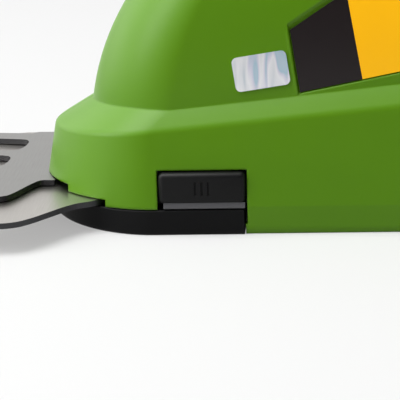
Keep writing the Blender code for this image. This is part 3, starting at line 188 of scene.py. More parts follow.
# gears are cast in natural acetal, a waxy off-white
acetal = moulded("natural_acetal", "E2DDCC", "D8D2BF", 0.4, 0.8, 0.03)
# the board is glass epoxy under a green solder mask
board_mat = moulded("solder_masked_epoxy", "1C5B33", "164C2A", 0.3, 1.2, 0.02)
# the lamp window is frosted polycarbonate, fine-grained and a little cloudy inside
lens_mat = moulded("frosted_polycarbonate", "E9E9E4", "DDDDD6", 0.22, 0.6, 0.02, IOR=1.58,
                   Subsurface_Weight=0.2)
red_pvc = moulded("red_pvc", "A81C16", "961812", 0.38, 0.8, 0.02)
black_pvc = moulded("black_pvc", "161616", "1B1B1B", 0.38, 0.8, 0.02)
ferrite = moulded("ferrite", "2A2A2D", "333337", 0.6, 0.7, 0.08)
print("plastics ready")

# %% [markdown]
# The soft sleeve is a thermoplastic elastomer: matt, slightly dusty, with a grain that hides
# fingerprints. The sheen stands for its velvety edge light.

# %% Soft sleeve
rubber = moulded("soft_elastomer", "1B1B1C", "232324", 0.78, 0.7, 0.15, Sheen_Weight=0.25,
                 Sheen_Roughness=0.5)
print(rubber.name, "ready")

# %% [markdown]
# The blades are ground from strip steel. A surface grinder leaves fine straight lines, here across the
# blade, so the noise is stretched thirty times along them. The lines darken the steel a little and
# roughen it, and a slow noise lets the gloss change as on a blade that has been wiped.

# %% Ground steel and plated steel
WIPED_MM, LINE_STRENGTH = 22, 0.3


def ground(name, base, shade, roughness, line_mm, stretch, depth_mm):
    """Metal with grinding lines along Y; stretch is how many times longer than wide they are."""
    mat, tree, shader = start_material(name, base, roughness, 1.0)
    place = add(tree, 'ShaderNodeTexCoord').outputs["Object"]
    squeezed = add(tree, 'ShaderNodeMapping', {"Vector": place, "Scale": (1.0, 1.0 / stretch, 1.0)})
    lines = add(tree, 'ShaderNodeTexNoise', {"Vector": squeezed, "Scale": per_mm(line_mm), "Detail": 4.0})
    slow = add(tree, 'ShaderNodeTexNoise', {"Vector": place, "Scale": per_mm(WIPED_MM), "Detail": 2.0})
    both = add(tree, 'ShaderNodeMath', {0: lines, 1: slow}, operation='MULTIPLY')
    tone = add(tree, 'ShaderNodeMix', {"Factor": both, 6: colour(base), 7: colour(shade)}, data_type='RGBA')
    gloss = add(tree, 'ShaderNodeMapRange', {"Value": both, "From Max": 0.5, "To Min": roughness - 0.05,
                                             "To Max": roughness + 0.08})
    bump = add(tree, 'ShaderNodeBump', {"Height": lines, "Strength": LINE_STRENGTH,
                                        "Distance": depth_mm * MM})
    feed(tree, shader, {"Base Color": tone, "Roughness": gloss, "Normal": bump})
    return mat


blade_steel = ground("ground_blade_steel", "B9B5B0", "A19D98", 0.3, 0.35, 30, 0.02)
# the moving blade gets a darker, rougher copy of the same steel; its darker tone is painted shade, for the
# dark surroundings it reflects
upper_blade_painted_shade = ground("blade_steel_painted_shade", "8E8D8B", "7F7E7C", 0.38, 0.35, 30, 0.02)
# the edges are blanked in a press; their dark grey is painted shade, for the dark surroundings the sides
# reflect, and the cutting bevels are ground bright
blade_side_painted_shade = ground("blanked_edge_painted_shade", "48484A", "343436", 0.45, 0.5, 2, 0.02)
bevel_steel = ground("ground_cutting_bevel", "7C7B79", "6A6967", 0.34, 0.3, 12, 0.01)
screw_steel = ground("zinc_plated_steel", "B9BABC", "A6A7AA", 0.3, 0.6, 2, 0.01)
can_steel = ground("nickel_plated_steel", "C2C2BF", "B0B0AD", 0.33, 0.9, 6, 0.01)
brass = ground("machined_brass", "C9A355", "B48E44", 0.3, 0.4, 8, 0.01)
print("metals ready")

# %% [markdown]
# The label panel carries a printed film. Here it stays bare: a near-black field and a warm yellow
# field with a straight slanted edge between them. The film is smooth over the grain of the housing,
# so it is glossier. The small foil beside it is an embossed film that splits light into pale colours;
# stretched noise makes its slanting streaks, and fine cross lines stand for the embossing.

# %% Label film and foil
LABEL_DARK, LABEL_YELLOW = "1D1617", "FBB800"
# the last size is the strength of the yellow field's faint glow, which is painted light
SPLIT_X, SPLIT_LEAN, INK_MM, YELLOW_PAINTED_GLOW = 72.6 * MM, 0.176, 1.4, 0.2
FOIL_TONES = ((0.42, "E9EBF0"), (0.5, "F7F7FA"), (0.56, "E2DFF0"), (0.61, "B8D2E2"))
STREAK_MM, STREAK_LEAN, STREAK_STRETCH, FOIL_LINES = 4.2, math.radians(-32), 0.16, 700.0


def label_film():
    mat, tree, shader = start_material("printed_label_film", LABEL_DARK, 0.32, Specular_IOR_Level=0.3)
    place = add(tree, 'ShaderNodeTexCoord').outputs["Object"]
    split = add(tree, 'ShaderNodeSeparateXYZ', {"Vector": place}).outputs
    lean = add(tree, 'ShaderNodeMath', {0: split["Z"], 1: SPLIT_LEAN, 2: split["X"]},
               operation='MULTIPLY_ADD')
    yellow = add(tree, 'ShaderNodeMath', {0: lean, 1: SPLIT_X}, operation='GREATER_THAN')
    field = add(tree, 'ShaderNodeMix', {"Factor": yellow, 6: colour(LABEL_DARK), 7: colour(LABEL_YELLOW)},
                data_type='RGBA')
    # the yellow field also glows faintly: painted light that makes it brighter than the lamps alone do
    painted_glow = add(tree, 'ShaderNodeMath', {0: yellow, 1: YELLOW_PAINTED_GLOW}, operation='MULTIPLY')
    ink = add(tree, 'ShaderNodeTexNoise', {"Vector": place, "Scale": per_mm(INK_MM), "Detail": 2.0})
    gloss = add(tree, 'ShaderNodeMapRange', {"Value": ink, "To Min": 0.27, "To Max": 0.36})
    bump = add(tree, 'ShaderNodeBump', {"Height": ink, "Strength": 0.15, "Distance": 0.02 * MM})
    feed(tree, shader, {"Base Color": field, "Emission Color": field, "Emission Strength": painted_glow,
                        "Roughness": gloss, "Normal": bump})
    return mat


def foil_film():
    mat, tree, shader = start_material("embossed_foil_film", "E6E8EC", 0.26, 0.35)
    place = add(tree, 'ShaderNodeTexCoord').outputs["Object"]
    leaning = add(tree, 'ShaderNodeMapping', {"Vector": place, "Rotation": (0.0, STREAK_LEAN, 0.0),
                                              "Scale": (1.0, 1.0, STREAK_STRETCH)})
    streaks = add(tree, 'ShaderNodeTexNoise', {"Vector": leaning, "Scale": per_mm(STREAK_MM), "Detail": 1.5,
                                               "Distortion": 0.5})
    hues = add(tree, 'ShaderNodeValToRGB', {"Fac": streaks})
    first, last = hues.color_ramp.elements
    first.position, first.color = 0.34, colour("B4C4D2")
    last.position, last.color = 0.68, colour("C4D6E4")
    for where, code in FOIL_TONES:
        hues.color_ramp.elements.new(where).color = colour(code)
    lines = add(tree, 'ShaderNodeTexWave', {"Vector": place, "Scale": FOIL_LINES, "Distortion": 0.5},
                bands_direction='X').outputs["Fac"]
    bump = add(tree, 'ShaderNodeBump', {"Height": lines, "Strength": 0.2, "Distance": 0.03 * MM})
    feed(tree, shader, {"Base Color": hues, "Normal": bump})
    return mat


label_mat, foil_mat = label_film(), foil_film()
print(len(bpy.data.materials), "materials so far")

# %% [markdown]
# Pieces whose CAD shape is already right keep it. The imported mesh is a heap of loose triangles, so a
# copy is merged, its flat faces are joined again, its round faces are shaded smooth, and where the
# real piece has a moulded or tumbled edge it gets a small bevel. The copy then stands for the node.

# %% Helpers for finished pieces
BODY_OF = {node: body for body, nodes in frame["record"]["behaviour"]["bodies"].items() for node in nodes}


def finish_piece(piece, mat, stands_for, sharp=32, more=(), choose=None):
    """Last steps of any piece: finish, shading, body, and the nodes that it stands for."""
    piece.data.materials.clear()
    for finish in (mat, *more):
        piece.data.materials.append(finish)
    for face in piece.data.polygons:
        face.use_smooth = True
        face.material_index = choose(face) if choose else 0
    piece.data.set_sharp_from_angle(angle=math.radians(sharp))
    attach(piece, BODY_OF[stands_for[0]])
    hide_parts(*stands_for)
    print(piece.name, len(piece.data.polygons), "faces")
    return piece


def keep_mesh(thing, name, *used):
    """The evaluated mesh of a working object as a new plain piece; it and the objects it used go."""
    bpy.context.view_layer.update()
    graph = bpy.context.evaluated_depsgraph_get()
    data = bpy.data.meshes.new_from_object(thing.evaluated_get(graph))
    data.transform(thing.matrix_world)
    for gone in (thing, *used):
        bpy.data.objects.remove(gone, do_unlink=True)
    return show(name, data)


def merged_copy(node, flat=True):
    """A copy of a CAD node's mesh with its corners joined and its flat faces made whole."""
    bm = bmesh.new()
    bm.from_mesh(frame["nodes"][node].data)
    bmesh.ops.remove_doubles(bm, verts=bm.verts, dist=0.002 * MM)
    if flat:
        bmesh.ops.dissolve_limit(bm, angle_limit=math.radians(0.5), verts=bm.verts, edges=bm.edges)
    for vert in bm.verts:
        vert.normal_update()
    data = bpy.data.meshes.new(node)
    bm.to_mesh(data)
    bm.free()
    data.materials.clear()
    return show(node + "_copy", data)


def round_edges(thing, width, steps, **more):
    """Rounds the sharp edges of a working object."""
    edge = thing.modifiers.new("edge", 'BEVEL')
    edge.width, edge.segments, edge.limit_method = width, steps, 'ANGLE'
    for key, value in more.items():
        setattr(edge, key, value)
    return thing


def dress(node, mat, bevel_mm=0.0):
    """The CAD solid's own shape as a finished piece, with its edges rounded by bevel_mm."""
    copy = merged_copy(node, flat=bevel_mm > 0)
    if bevel_mm:
        round_edges(copy, bevel_mm * MM, 2, angle_limit=math.radians(40), use_clamp_overlap=True)
    return finish_piece(keep_mesh(copy, node + "_dressed"), mat, [node])


# %% Solids that keep their shape
PLAIN = {
    screw_steel: ("pivot_bolt", "crank_pin", "idler_shaft", "crank_shaft", "rotor_shaft", "trigger_pin"),
    can_steel: ("motor_can", "rotor_core"),
    brass: ("pivot_insert", "motor_pinion", "crank_bush", "battery_contact_1", "battery_contact_2"),
    acetal: ("crank_gear", "idler_gear"),
    ferrite: ("motor_magnet",),
    black_nylon: ("motor_end_cap",),
    dark_abs: ("gearcase_floor", "gearcase_cover", "switch_plunger"),
    red_pvc: ("motor_lead_red",),
    black_pvc: ("motor_lead_black",),
    pack_abs: ("micro_switch", "contact_block", "board_relay"),
}
for mat, nodes in PLAIN.items():
    for node in nodes:
        dress(node, mat)
dress("control_board", board_mat, 0.1)
dress("charge_lamp", lens_mat, 0.25)
dress("trigger", dark_abs, 1.2)
# the springs behind the release buttons stand on the gear case and get shorter as the buttons go in
for side, word in SIDES:
    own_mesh(dress("button_spring_" + word, screw_steel))

# %% [markdown]
# Both blades are blanked from 1.8 mm strip. The cutting edges of the teeth are then ground at a slant:
# on the top of the moving blade and on the underside of the fixed one, so that their flat sides slide on
# each other. A bevel that is told by edge weights cuts this slant on the teeth alone and leaves the rest
# of the outline nearly sharp. The blanked sides are painted darker than the ground faces, and the moving
# blade darker than the fixed one: both are painted shade.

# %% Necks of the blades
# the neck: how far it is from the pivot at least, where it ends and begins along X, and its rounding
NECK_FROM, NECK_REAR, NECK_FRONT, NECK_ROUND = mm(20, -16, -46, 1.5)
NEAR = 0.01 * MM


def soften_neck(mesh):
    """Rounds the upright corners of the outline behind the teeth, where the die has no sharp corners."""
    bm = bmesh.new()
    bm.from_mesh(mesh)
    corners = []
    for edge in bm.edges:
        a, b = (vert.co for vert in edge.verts)
        upright = (a - b).xy.length < NEAR and len(edge.link_faces) == 2
        if upright and NECK_FRONT < a.x < NECK_REAR and math.hypot(a.x, a.y) > NECK_FROM:
            if edge.calc_face_angle(0.0) > math.radians(5):
                corners.append(edge)
    bmesh.ops.bevel(bm, geom=corners, offset=NECK_ROUND, segments=4, profile=0.5, affect='EDGES',
                    clamp_overlap=True)
    bm.to_mesh(mesh)
    bm.free()


# %% Blades
# the teeth: how far from the pivot they begin, how far to the front, and how wide their slant is
TEETH_FROM, TEETH_X, SLANT = mm(50, -45, 0.7)
# edge weights: the slant on the teeth, and the small share of it on the rest of the outline
ON_TEETH, ON_RIM = 1.0, 0.1


def face_of_blade(face):
    """Ground face, blanked side or cutting slant, told by how far the face looks up or down."""
    up = abs(face.normal.z)
    return 0 if up > 0.97 else 2 if up > 0.3 else 1


def ground_blade(node, steel, level):
    """A blade with its cutting edges ground; level is the height of the side that they are ground on."""
    copy = merged_copy(node)
    mesh = copy.data
    soften_neck(mesh)
    weight = mesh.attributes.new("bevel_weight_edge", 'FLOAT', 'EDGE')
    for edge in mesh.edges:
        a, b = (mesh.vertices[i].co for i in edge.vertices)
        middle = (a + b) / 2
        rim = abs(a.z - level) < NEAR and abs(b.z - level) < NEAR
        tooth = rim and math.hypot(middle.x, middle.y) > TEETH_FROM and middle.x < TEETH_X
        weight.data[edge.index].value = ON_TEETH if tooth else ON_RIM if rim else 0.0
    slant = copy.modifiers.new("slant", 'BEVEL')
    slant.width, slant.segments, slant.limit_method = SLANT, 1, 'WEIGHT'
    finish_piece(keep_mesh(copy, node + "_dressed"), steel, [node], sharp=20, more=(blade_side_painted_shade, bevel_steel),
                 choose=face_of_blade)


ground_blade("upper_blade", upper_blade_painted_shade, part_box("upper_blade")[1][2])
ground_blade("lower_blade", blade_steel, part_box("lower_blade")[0][2])

# %% [markdown]
# The housing is the piece that the picture is about, so it is built again with a finer skin. Its form
# follows a rule: a nose drawn as a superellipse, swept up through a slightly leaning wall, a crease,
# a shoulder and a deck; a dome whose front and sides are quarter ellipses; and a handle that is one
# rounded section led along a smooth line. These are the same sizes that the solids were drawn with.

# %% Sizes of the housing
# the gap between parts that stay and between parts that slide, and the thickness of the walls
GAP, SLIDE, WALL = mm(0.3, 0.5, 2.4)
# roundness of the nose, rise of the crease to the rear, lean of the dome's rear, angle of its last ring
NOSE_POWER, CREASE_RISE, DOME_LEAN, DOME_STOP = 1.8, 0.092, 0.14, 1.46
# the body's reach to the front, to each side and to the rear, and the length of its rounded tail
NOSE_FRONT, BODY_HALF, BODY_REAR, TAIL = mm(36.2, 34.6, 214, 34)
# heights of the waist and the crease, and how far the crease and the shoulder lie further in or up
WAIST_Z, CREASE_Z, CREASE_IN, BAND_UP, BAND_IN, BAND_NOSE_IN = mm(8.9, 31.7, 3.7, 5.8, 4.4, 11.5)
# the dome's middle, its reach to the front, up and to each side, and where its rear stands
DOME_X, DOME_Z, DOME_LONG, DOME_HIGH, DOME_HALF, DOME_REAR = mm(83, 25, 104, 88, 27.2, 101)
# height of the grip's middle line, then half width and half height of the grip, half depth of the column
GRIP_Z, GRIP_HALF, GRIP_HIGH, COLUMN_HIGH = mm(109.5, 15, 16.5, 12.5)
COLUMN_X = BODY_REAR - 15 * MM
COLUMN_DROP = GRIP_Z - (CREASE_Z + CREASE_RISE * COLUMN_X - 8.5 * MM)
# the handle's middle line: (share of the way from the dome to the column, share of the way down)
HANDLE = [(DOME_X + ahead * (COLUMN_X - DOME_X), GRIP_Z - down * COLUMN_DROP) for ahead, down in
          ((-0.241, 0.382), (-0.052, 0.169), (0.155, 0.047), (0.379, 0.0), (0.586, 0.022), (0.776, 0.118),
           (0.914, 0.294), (0.983, 0.544), (1.0, 0.824), (1.0, 1.0))]
HANDLE_END = len(HANDLE) - 1
# where the sleeve begins and ends, counted in points of the handle, then the depth of its seat
SLEEVE_START, SLEEVE_STOP, SLEEVE_SEAT = 3.35, 5.6, 1.6 * MM
print("body", round((NOSE_FRONT + BODY_REAR) / MM, 1), "mm long and", round(2 * BODY_HALF / MM, 1), "mm wide")

# %% Loft, box and rod as working solids


def working(name, build):
    """A closed mesh filled by a function, as a working object that isn't kept."""
    bm = bmesh.new()
    build(bm)
    bmesh.ops.recalc_face_normals(bm, faces=bm.faces)
    data = bpy.data.meshes.new(name)
    bm.to_mesh(data)
    bm.free()
    return show(name, data)


def join_rings(bm, rings, around=False):
    """Faces between each ring of corners and the next, and with around also from the last to the first."""
    for low, high in zip(rings, rings[1:] + rings[:1] if around else rings[1:]):
        for i in range(len(low)):
            j = (i + 1) % len(low)
            bm.faces.new((low[i], low[j], high[j], high[i]))


def loft(name, rings):
    """A skin over rings of points, closed by a flat face at each end."""
    def build(bm):
        rows = [[bm.verts.new(point) for point in ring] for ring in rings]
        join_rings(bm, rows)
        bmesh.ops.triangulate(bm, faces=bm.faces)
        bm.faces.new(rows[0])
        bm.faces.new(rows[-1])
    return working(name, build)


def block(name, low, high):
    """A box from its lowest to its highest corner."""
    def build(bm):
        bmesh.ops.create_cube(bm, size=1.0)
        for vert in bm.verts:
            vert.co = [(low[i] + high[i]) / 2 + vert.co[i] * (high[i] - low[i]) for i in range(3)]
    return working(name, build)


def rod(name, radius, start, stop, sides=24):
    """A round bar from one point to another."""
    start, stop = Vector(start), Vector(stop)
    turn = (stop - start).to_track_quat('Z', 'Y').to_matrix().to_4x4()

    def build(bm):
        bmesh.ops.create_cone(bm, cap_ends=True, segments=sides, radius1=radius, radius2=radius,
                              depth=(stop - start).length)
        bmesh.ops.transform(bm, verts=bm.verts, matrix=Matrix.Translation((start + stop) / 2) @ turn)
    return working(name, build)


def prism(name, outline, half):
    """A bar across the tool, from y = -half to half, over an outline drawn in side view."""
    return loft(name, [[Vector((x, y, z)) for x, z in outline] for y in (-half, half)])


def carve(thing, join=(), within=(), cut=()):
    """Joins other working objects to a thing, keeps what lies within more, and then cuts the last away."""
    for operation, others in (('UNION', join), ('INTERSECT', within), ('DIFFERENCE', cut)):
        for other in others:
            step = thing.modifiers.new("step", 'BOOLEAN')
            step.operation, step.solver, step.object = operation, 'EXACT', other
    return thing


# %% Plan and profile


def lobed(angle, power):
    """Cosine and sine of an angle, each raised to a power but with its sign kept."""
    return [math.copysign(abs(part) ** power, part) for part in (math.cos(angle), math.sin(angle))]


def plan(front, half, rear, nose, tail, height, nose_steps=56, tail_steps=16, roundness=NOSE_POWER):
    """Seen from above: the nose curve from left to right, then the squarer tail."""
    points = []
    for i in range(nose_steps + 1):
        along, across = lobed(-math.pi / 2 + math.pi * i / nose_steps, 2.0 / roundness)
        points.append((-front + nose - nose * abs(along), half * across))
    for i in range(tail_steps + 1):
        along, across = lobed(math.pi / 2 - math.pi * i / tail_steps, 0.5)
        points.append((rear - tail + tail * abs(along), half * across))
    return [Vector((x, y, height(x))) for x, y in points]


def eased(rows, reaches, steps=4):
    """Rounds the corners of a profile: each inner row turns into a few rows on a soft curve."""
    made = [rows[0]]
    for before, corner, after, reach in zip(rows, rows[1:], rows[2:], reaches):
        def toward(other):
            span = math.dist(corner[1:3], other[1:3])
            f = min(0.45, reach / span)
            return [c + (o - c) * f for c, o in zip(corner, other)]
        a, c = toward(before), toward(after)
        for k in range(steps + 1):
            f = k / steps
            made.append([(1 - f) ** 2 * p + 2 * f * (1 - f) * q + f * f * r for p, q, r in zip(a, corner, c)])
    return made + [rows[-1]]


# %% Rings of the body


def skirt_rings(inset=0.0, soft=True):
    """Rings up the low body, as rows of (in at nose, in at side, height, rise to the rear, longer nose)."""
    top, longer = CREASE_Z + BAND_UP, 7 * MM
    nose, side = CREASE_IN + BAND_NOSE_IN, CREASE_IN + BAND_IN
    rows = [[1.2 * MM, 1.2 * MM, inset, 0.0, 0.0], [0.4 * MM, 0.4 * MM, 1.6 * MM, 0.0, 0.0],
            [0.0, 0.0, WAIST_Z, 0.0, 0.0],
            [CREASE_IN, CREASE_IN, CREASE_Z - 0.4 * inset, CREASE_RISE, 0.0],
            [nose, side, top - inset, CREASE_RISE, longer],
            [nose + 9 * MM, side + 3.15 * MM, top + 3.15 * MM - inset, CREASE_RISE, longer],
            [nose + 18 * MM, side + 9 * MM, top + 4.5 * MM - inset, CREASE_RISE, longer]]
    if inset:
        rows = rows[:1] + rows[2:]
    if soft:
        rows = eased(rows, mm(0.8, 0.25, 1.1, 1.1, 1.1))
    rings = []
    for nose_in, side_in, base, rise, more in rows:
        front = NOSE_FRONT - nose_in - inset
        rings.append(plan(front, BODY_HALF - side_in - inset, BODY_REAR - side_in * 1.4 - inset, front + more,
                          TAIL - side_in, lambda x, b=base, r=rise: b + r * x,
                          roundness=NOSE_POWER + 0.12 * more / longer))
    return rings


def dome_rings(inset=0.0, levels=34):
    """Rings up the dome; each is smaller than the one below and starts its rear a little further forward."""
    rings, reach = [], DOME_HIGH - inset
    start, stop = math.asin((CREASE_Z - DOME_Z) / reach), DOME_STOP
    for i in range(levels + 1):
        angle = start + (stop - start) * i / levels
        z, shrink = DOME_Z + reach * math.sin(angle), math.cos(angle)
        nose = DOME_HALF * max(shrink, 0.25)
        rings.append(plan((DOME_LONG - inset) * shrink - DOME_X, (DOME_HALF - inset) * shrink,
                          DOME_REAR - inset - DOME_LEAN * (z - DOME_Z), nose, 0.6 * nose, lambda x, h=z: h,
                          nose_steps=48, tail_steps=12))
    return rings


print("skirt", len(skirt_rings()), "rings, dome", len(dome_rings()), "rings")

# %% Rings of the handle


def spline(t):
    """Smooth line through the handle's points; t counts the points passed."""
    i = min(int(t), HANDLE_END - 1)
    f = t - i
    p = [Vector((HANDLE[k][0], 0, HANDLE[k][1])) for k in (max(i - 1, 0), i, i + 1, min(i + 2, HANDLE_END))]
    return 0.5 * ((2 * p[1]) + (p[2] - p[0]) * f + (2 * p[0] - 5 * p[1] + 4 * p[2] - p[3]) * f * f
                  + (3 * p[1] - p[0] - 3 * p[2] + p[3]) * f ** 3)


def handle_place(t):
    """Middle, direction, outward direction, half height and half width of the handle at t."""
    along = (spline(min(t + 0.02, HANDLE_END)) - spline(max(t - 0.02, 0))).normalized()
    up = Vector((0, 1, 0)).cross(along) * -1.0
    # it is thicker where it leaves the dome, and gets thinner and wider on its way down the column
    front, down = max(0.0, 1 - t / 2.2), max(0.0, (t - 5.0) / (HANDLE_END - 5.0))
    high = GRIP_HIGH * (1 + 0.16 * front) * (1 - down) + COLUMN_HIGH * down
    return spline(t), along, up, high, GRIP_HALF + 6 * MM * max(0.0, (t - 5.5) / (HANDLE_END - 5.5))


def handle_rings(inset=0.0, start=0.0, stop=HANDLE_END, steps=64, sides=44):
    rings = []
    for k in range(steps + 1):
        here, _, up, high, wide = handle_place(start + (stop - start) * k / steps)
        ring = []
        for i in range(sides):
            across, over = lobed(2 * math.pi * i / sides, 0.8)
            ring.append(here + Vector((0, (wide - inset) * across, 0)) + up * (high - inset) * over)
        rings.append(ring)
    return rings


LOCK_X = 112 * MM


def lock_place():
    """Where the lock-off button sits on top of the handle, between its third and fourth point."""
    t = 2 + (LOCK_X - HANDLE[2][0]) / (HANDLE[3][0] - HANDLE[2][0])
    here, along, up, high, _ = handle_place(t)
    return Matrix.Translation(here + up * high) @ Matrix.Rotation(-math.atan2(along.z, along.x), 4, 'Y')


print("lock-off button at", [round(part / MM, 1) for part in lock_place().translation], "mm")

# %% Outlines of the label panel and of the foil


def label_outline(inset=0.0):
    """The corners of the label panel, moved in by inset; the first and the last make its front edge."""
    i = inset / MM
    shape = [(45.4 + i, 42 + i), (84 - i, 49.4 + i), (84 - i, 80 - i), (75, 80 - i), (56 + 0.3 * i, 69.9 - i),
             (42.6 + i, 61.2 - 0.6 * i)]
    return [(x * MM, z * MM) for x, z in shape]


def sticker_outline():
    """A small box with round corners, turned by a tilt."""
    (wide, high, soft, middle_x, middle_z), tilt = mm(16.6, 10.4, 1.6, 34, 49), math.radians(8.3)
    points = []
    for quarter, (sx, sz) in enumerate(((1, 1), (-1, 1), (-1, -1), (1, -1))):
        for k in range(7):
            angle = math.radians(90 * quarter + 15 * k)
            x = sx * (wide / 2 - soft) + soft * math.cos(angle)
            z = sz * (high / 2 - soft) + soft * math.sin(angle)
            points.append((middle_x + x * math.cos(tilt) - z * math.sin(tilt),
                           middle_z + x * math.sin(tilt) + z * math.cos(tilt)))
    return points


def other_half(side, over, low, high):
    """A block over the other half of the tool, which goes past the middle plane by over."""
    return block("other", (low, -over if side < 0 else low, low), (high, -low if side < 0 else over, high))


def under_dome(name, outline, side, outer, inner, levels=34):
    """What lies inside an outline between two depths under the dome's side, and what was used to cut it."""
    bar = prism(name, outline, 30 * MM)
    outside = loft("outside", dome_rings(outer, levels))
    used = [loft("core", dome_rings(inner)), other_half(side, 0.01 * MM, -0.2, 0.4)]
    return carve(bar, within=[outside], cut=used), [outside, *used]


# %% [markdown]
# The two shells are cut as a toolmaker would: the full outer form, less the hollow, the stepped rim
# over the blades, the button pockets, the label panels, the battery bay, the trigger's slot, the
# lock's slot, the sleeve's seat and the screw holes, and then split along the middle.

# %% Hollow of the housing
# well past the sides of the tool
FAR = 60 * MM
SCREWS = []
for n in range(1, 7):
    low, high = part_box("housing_screw_%d" % n)
    SCREWS.append(((low[0] + high[0]) / 2 / MM, (low[2] + high[2]) / 2 / MM))
print("housing screws at", [(round(x, 1), round(z, 1)) for x, z in SCREWS])
RIB_THICK = 2.4 * MM
# walls across the hollow: (front face, half width, low and high edge of the window, top of the wall)
RIBS = ((33.6, 17.6, 16, 42, 39), (59.6, 17.6, 16, 42, 39), (140, 26.5, 2.9, 45.4, 51.4),
        (186, 26.5, 2.9, 45.4, 51.4), (121, 14, 14, 34, 40), (107.3, 16, 10, 34, 40), (111.9, 16, 10, 34, 40))
MOTOR_X, MOTOR_BORE, MOTOR_RIB_LOW, MOTOR_RIB_HIGH, MOTOR_RIB_REAR = mm(53.6, 14.15, 62, 64.4, 70.45)


def cross_rod(name, radius, x, z, start, sides):
    """A rod across the tool at (x, z) in millimetres, from y = start to beyond the right side."""
    return rod(name, radius, (x * MM, start, z * MM), (x * MM, FAR, z * MM), sides)


def make_hollow():
    """The room inside both shells, with the screw posts, the ribs and the motor's seat left standing."""
    hollow = loft("hollow", skirt_rings(WALL, soft=False))
    forms = [loft("hollow_dome", dome_rings(WALL, 12)),
             loft("hollow_grip", handle_rings(WALL, steps=20, sides=20))]
    walls, bores = [cross_rod("post", 4.2 * MM, x, z, -FAR, 20) for x, z in SCREWS], []
    for x, half, low, high, top in (mm(*sizes) for sizes in RIBS):
        bores.append(block("window", (x - 5 * MM, -half - GAP, low - GAP),
                           (x + RIB_THICK + 5 * MM, half + GAP, high + GAP)))
        walls.append(carve(block("rib", (x, -FAR, -0.01), (x + RIB_THICK, FAR, top)), cut=bores[-1:]))
    bores.append(rod("motor_bore", MOTOR_BORE, (MOTOR_X, 0, 0), (MOTOR_X, 0, 0.2), 40))
    motor_rib = block("motor_rib", (-0.03, -FAR, MOTOR_RIB_LOW), (MOTOR_RIB_REAR, FAR, MOTOR_RIB_HIGH))
    walls.append(carve(motor_rib, cut=bores[-1:]))
    return keep_mesh(carve(hollow, join=forms, cut=walls), "hollow", *forms, *walls, *bores)


# %% Walls and bead of the label panel
# how far each edge's slope is wide, and the slope's profile: (share of that width, depth under the dome)
PANEL_SLOPES = mm(0.15, 0.5, 1.3, 1.3, 1.3, 0.15)
PANEL_PROFILE = ((1.8, -1.2), (1.4, -0.05), (1.0, 0.25), (0.45, 0.85), (0.04, 1.12), (-0.45, 1.12),
                 (-0.45, -1.2))
BEAD_PROFILE = ((1.25, 0.2), (1.0, -0.1), (0.7, -0.24), (0.4, -0.2), (0.2, 0.05), (0.2, 0.9), (0.9, 0.9))


def on_dome(spot, depth, side):
    """The point at (x, z) that lies the given depth under the side of the dome."""
    y = (DOME_HALF - depth) * math.cos(math.asin((spot.y - DOME_Z) / (DOME_HIGH - depth)))
    return Vector((spot.x, side * y, spot.y))


def panel_walls(side):
    """A closed ring that slopes the walls of the label panel; wide along the top, narrow below."""
    corners = [Vector(p) for p in label_outline()]
    normals = []
    for a, b in zip(corners, corners[1:] + corners[:1]):
        along = (b - a).normalized()
        normals.append(Vector((along.y, -along.x)))
    out = []
    for k in range(len(corners)):
        n1, n2, w1, w2 = normals[k - 1], normals[k], PANEL_SLOPES[k - 1], PANEL_SLOPES[k]
        across = n1.x * n2.y - n1.y * n2.x
        out.append(Vector(((w1 * n2.y - w2 * n1.y) / across, (n1.x * w2 - n2.x * w1) / across)))
    rows = []
    for k, (a, b) in enumerate(zip(corners, corners[1:] + corners[:1])):
        steps = max(1, round((b - a).length / (2 * MM)))
        for i in range(steps):
            f = i / steps
            spot, shift = a.lerp(b, f), out[k].lerp(out[(k + 1) % len(out)], f)
            rows.append([on_dome(spot + shift * share, depth * MM, side) for share, depth in PANEL_PROFILE])

    def build(bm):
        join_rings(bm, [[bm.verts.new(point) for point in row] for row in rows], around=True)
        bmesh.ops.triangulate(bm, faces=bm.faces)
    return working("panel_walls", build)


def panel_bead(side, steps=12):
    """A low raised bead along the front edge of the panel, which fades out at both ends."""
    foot, head = Vector(label_outline()[0]), Vector(label_outline()[-1])
    along = (head - foot).normalized()
    out = Vector((-along.y, along.x))
    rows = []
    for k in range(steps + 1):
        f = k / steps
        spot, tall = foot.lerp(head, f) - along * 0.2 * MM, min(1.0, 6 * f + 0.3, 6 * (1 - f) + 0.3)
        rows.append([on_dome(spot + out * across * MM, depth * MM * (tall if depth < 0 else 1), side)
                     for across, depth in BEAD_PROFILE])
    return loft("panel_bead", rows)


# %% Cutters and shells of the housing
# the rim of the shells steps up over the two blades: (step, where it begins, its height)
RIM = (("rear", 28.7, 8.3), ("middle", -14.4, 10.4), ("front", -27, 12.5))
# (hole, radius, where it starts, sides)
SCREW_HOLES = (("drill", 1.75, -10, 16), ("head_hole", 3.4, 5, 28))


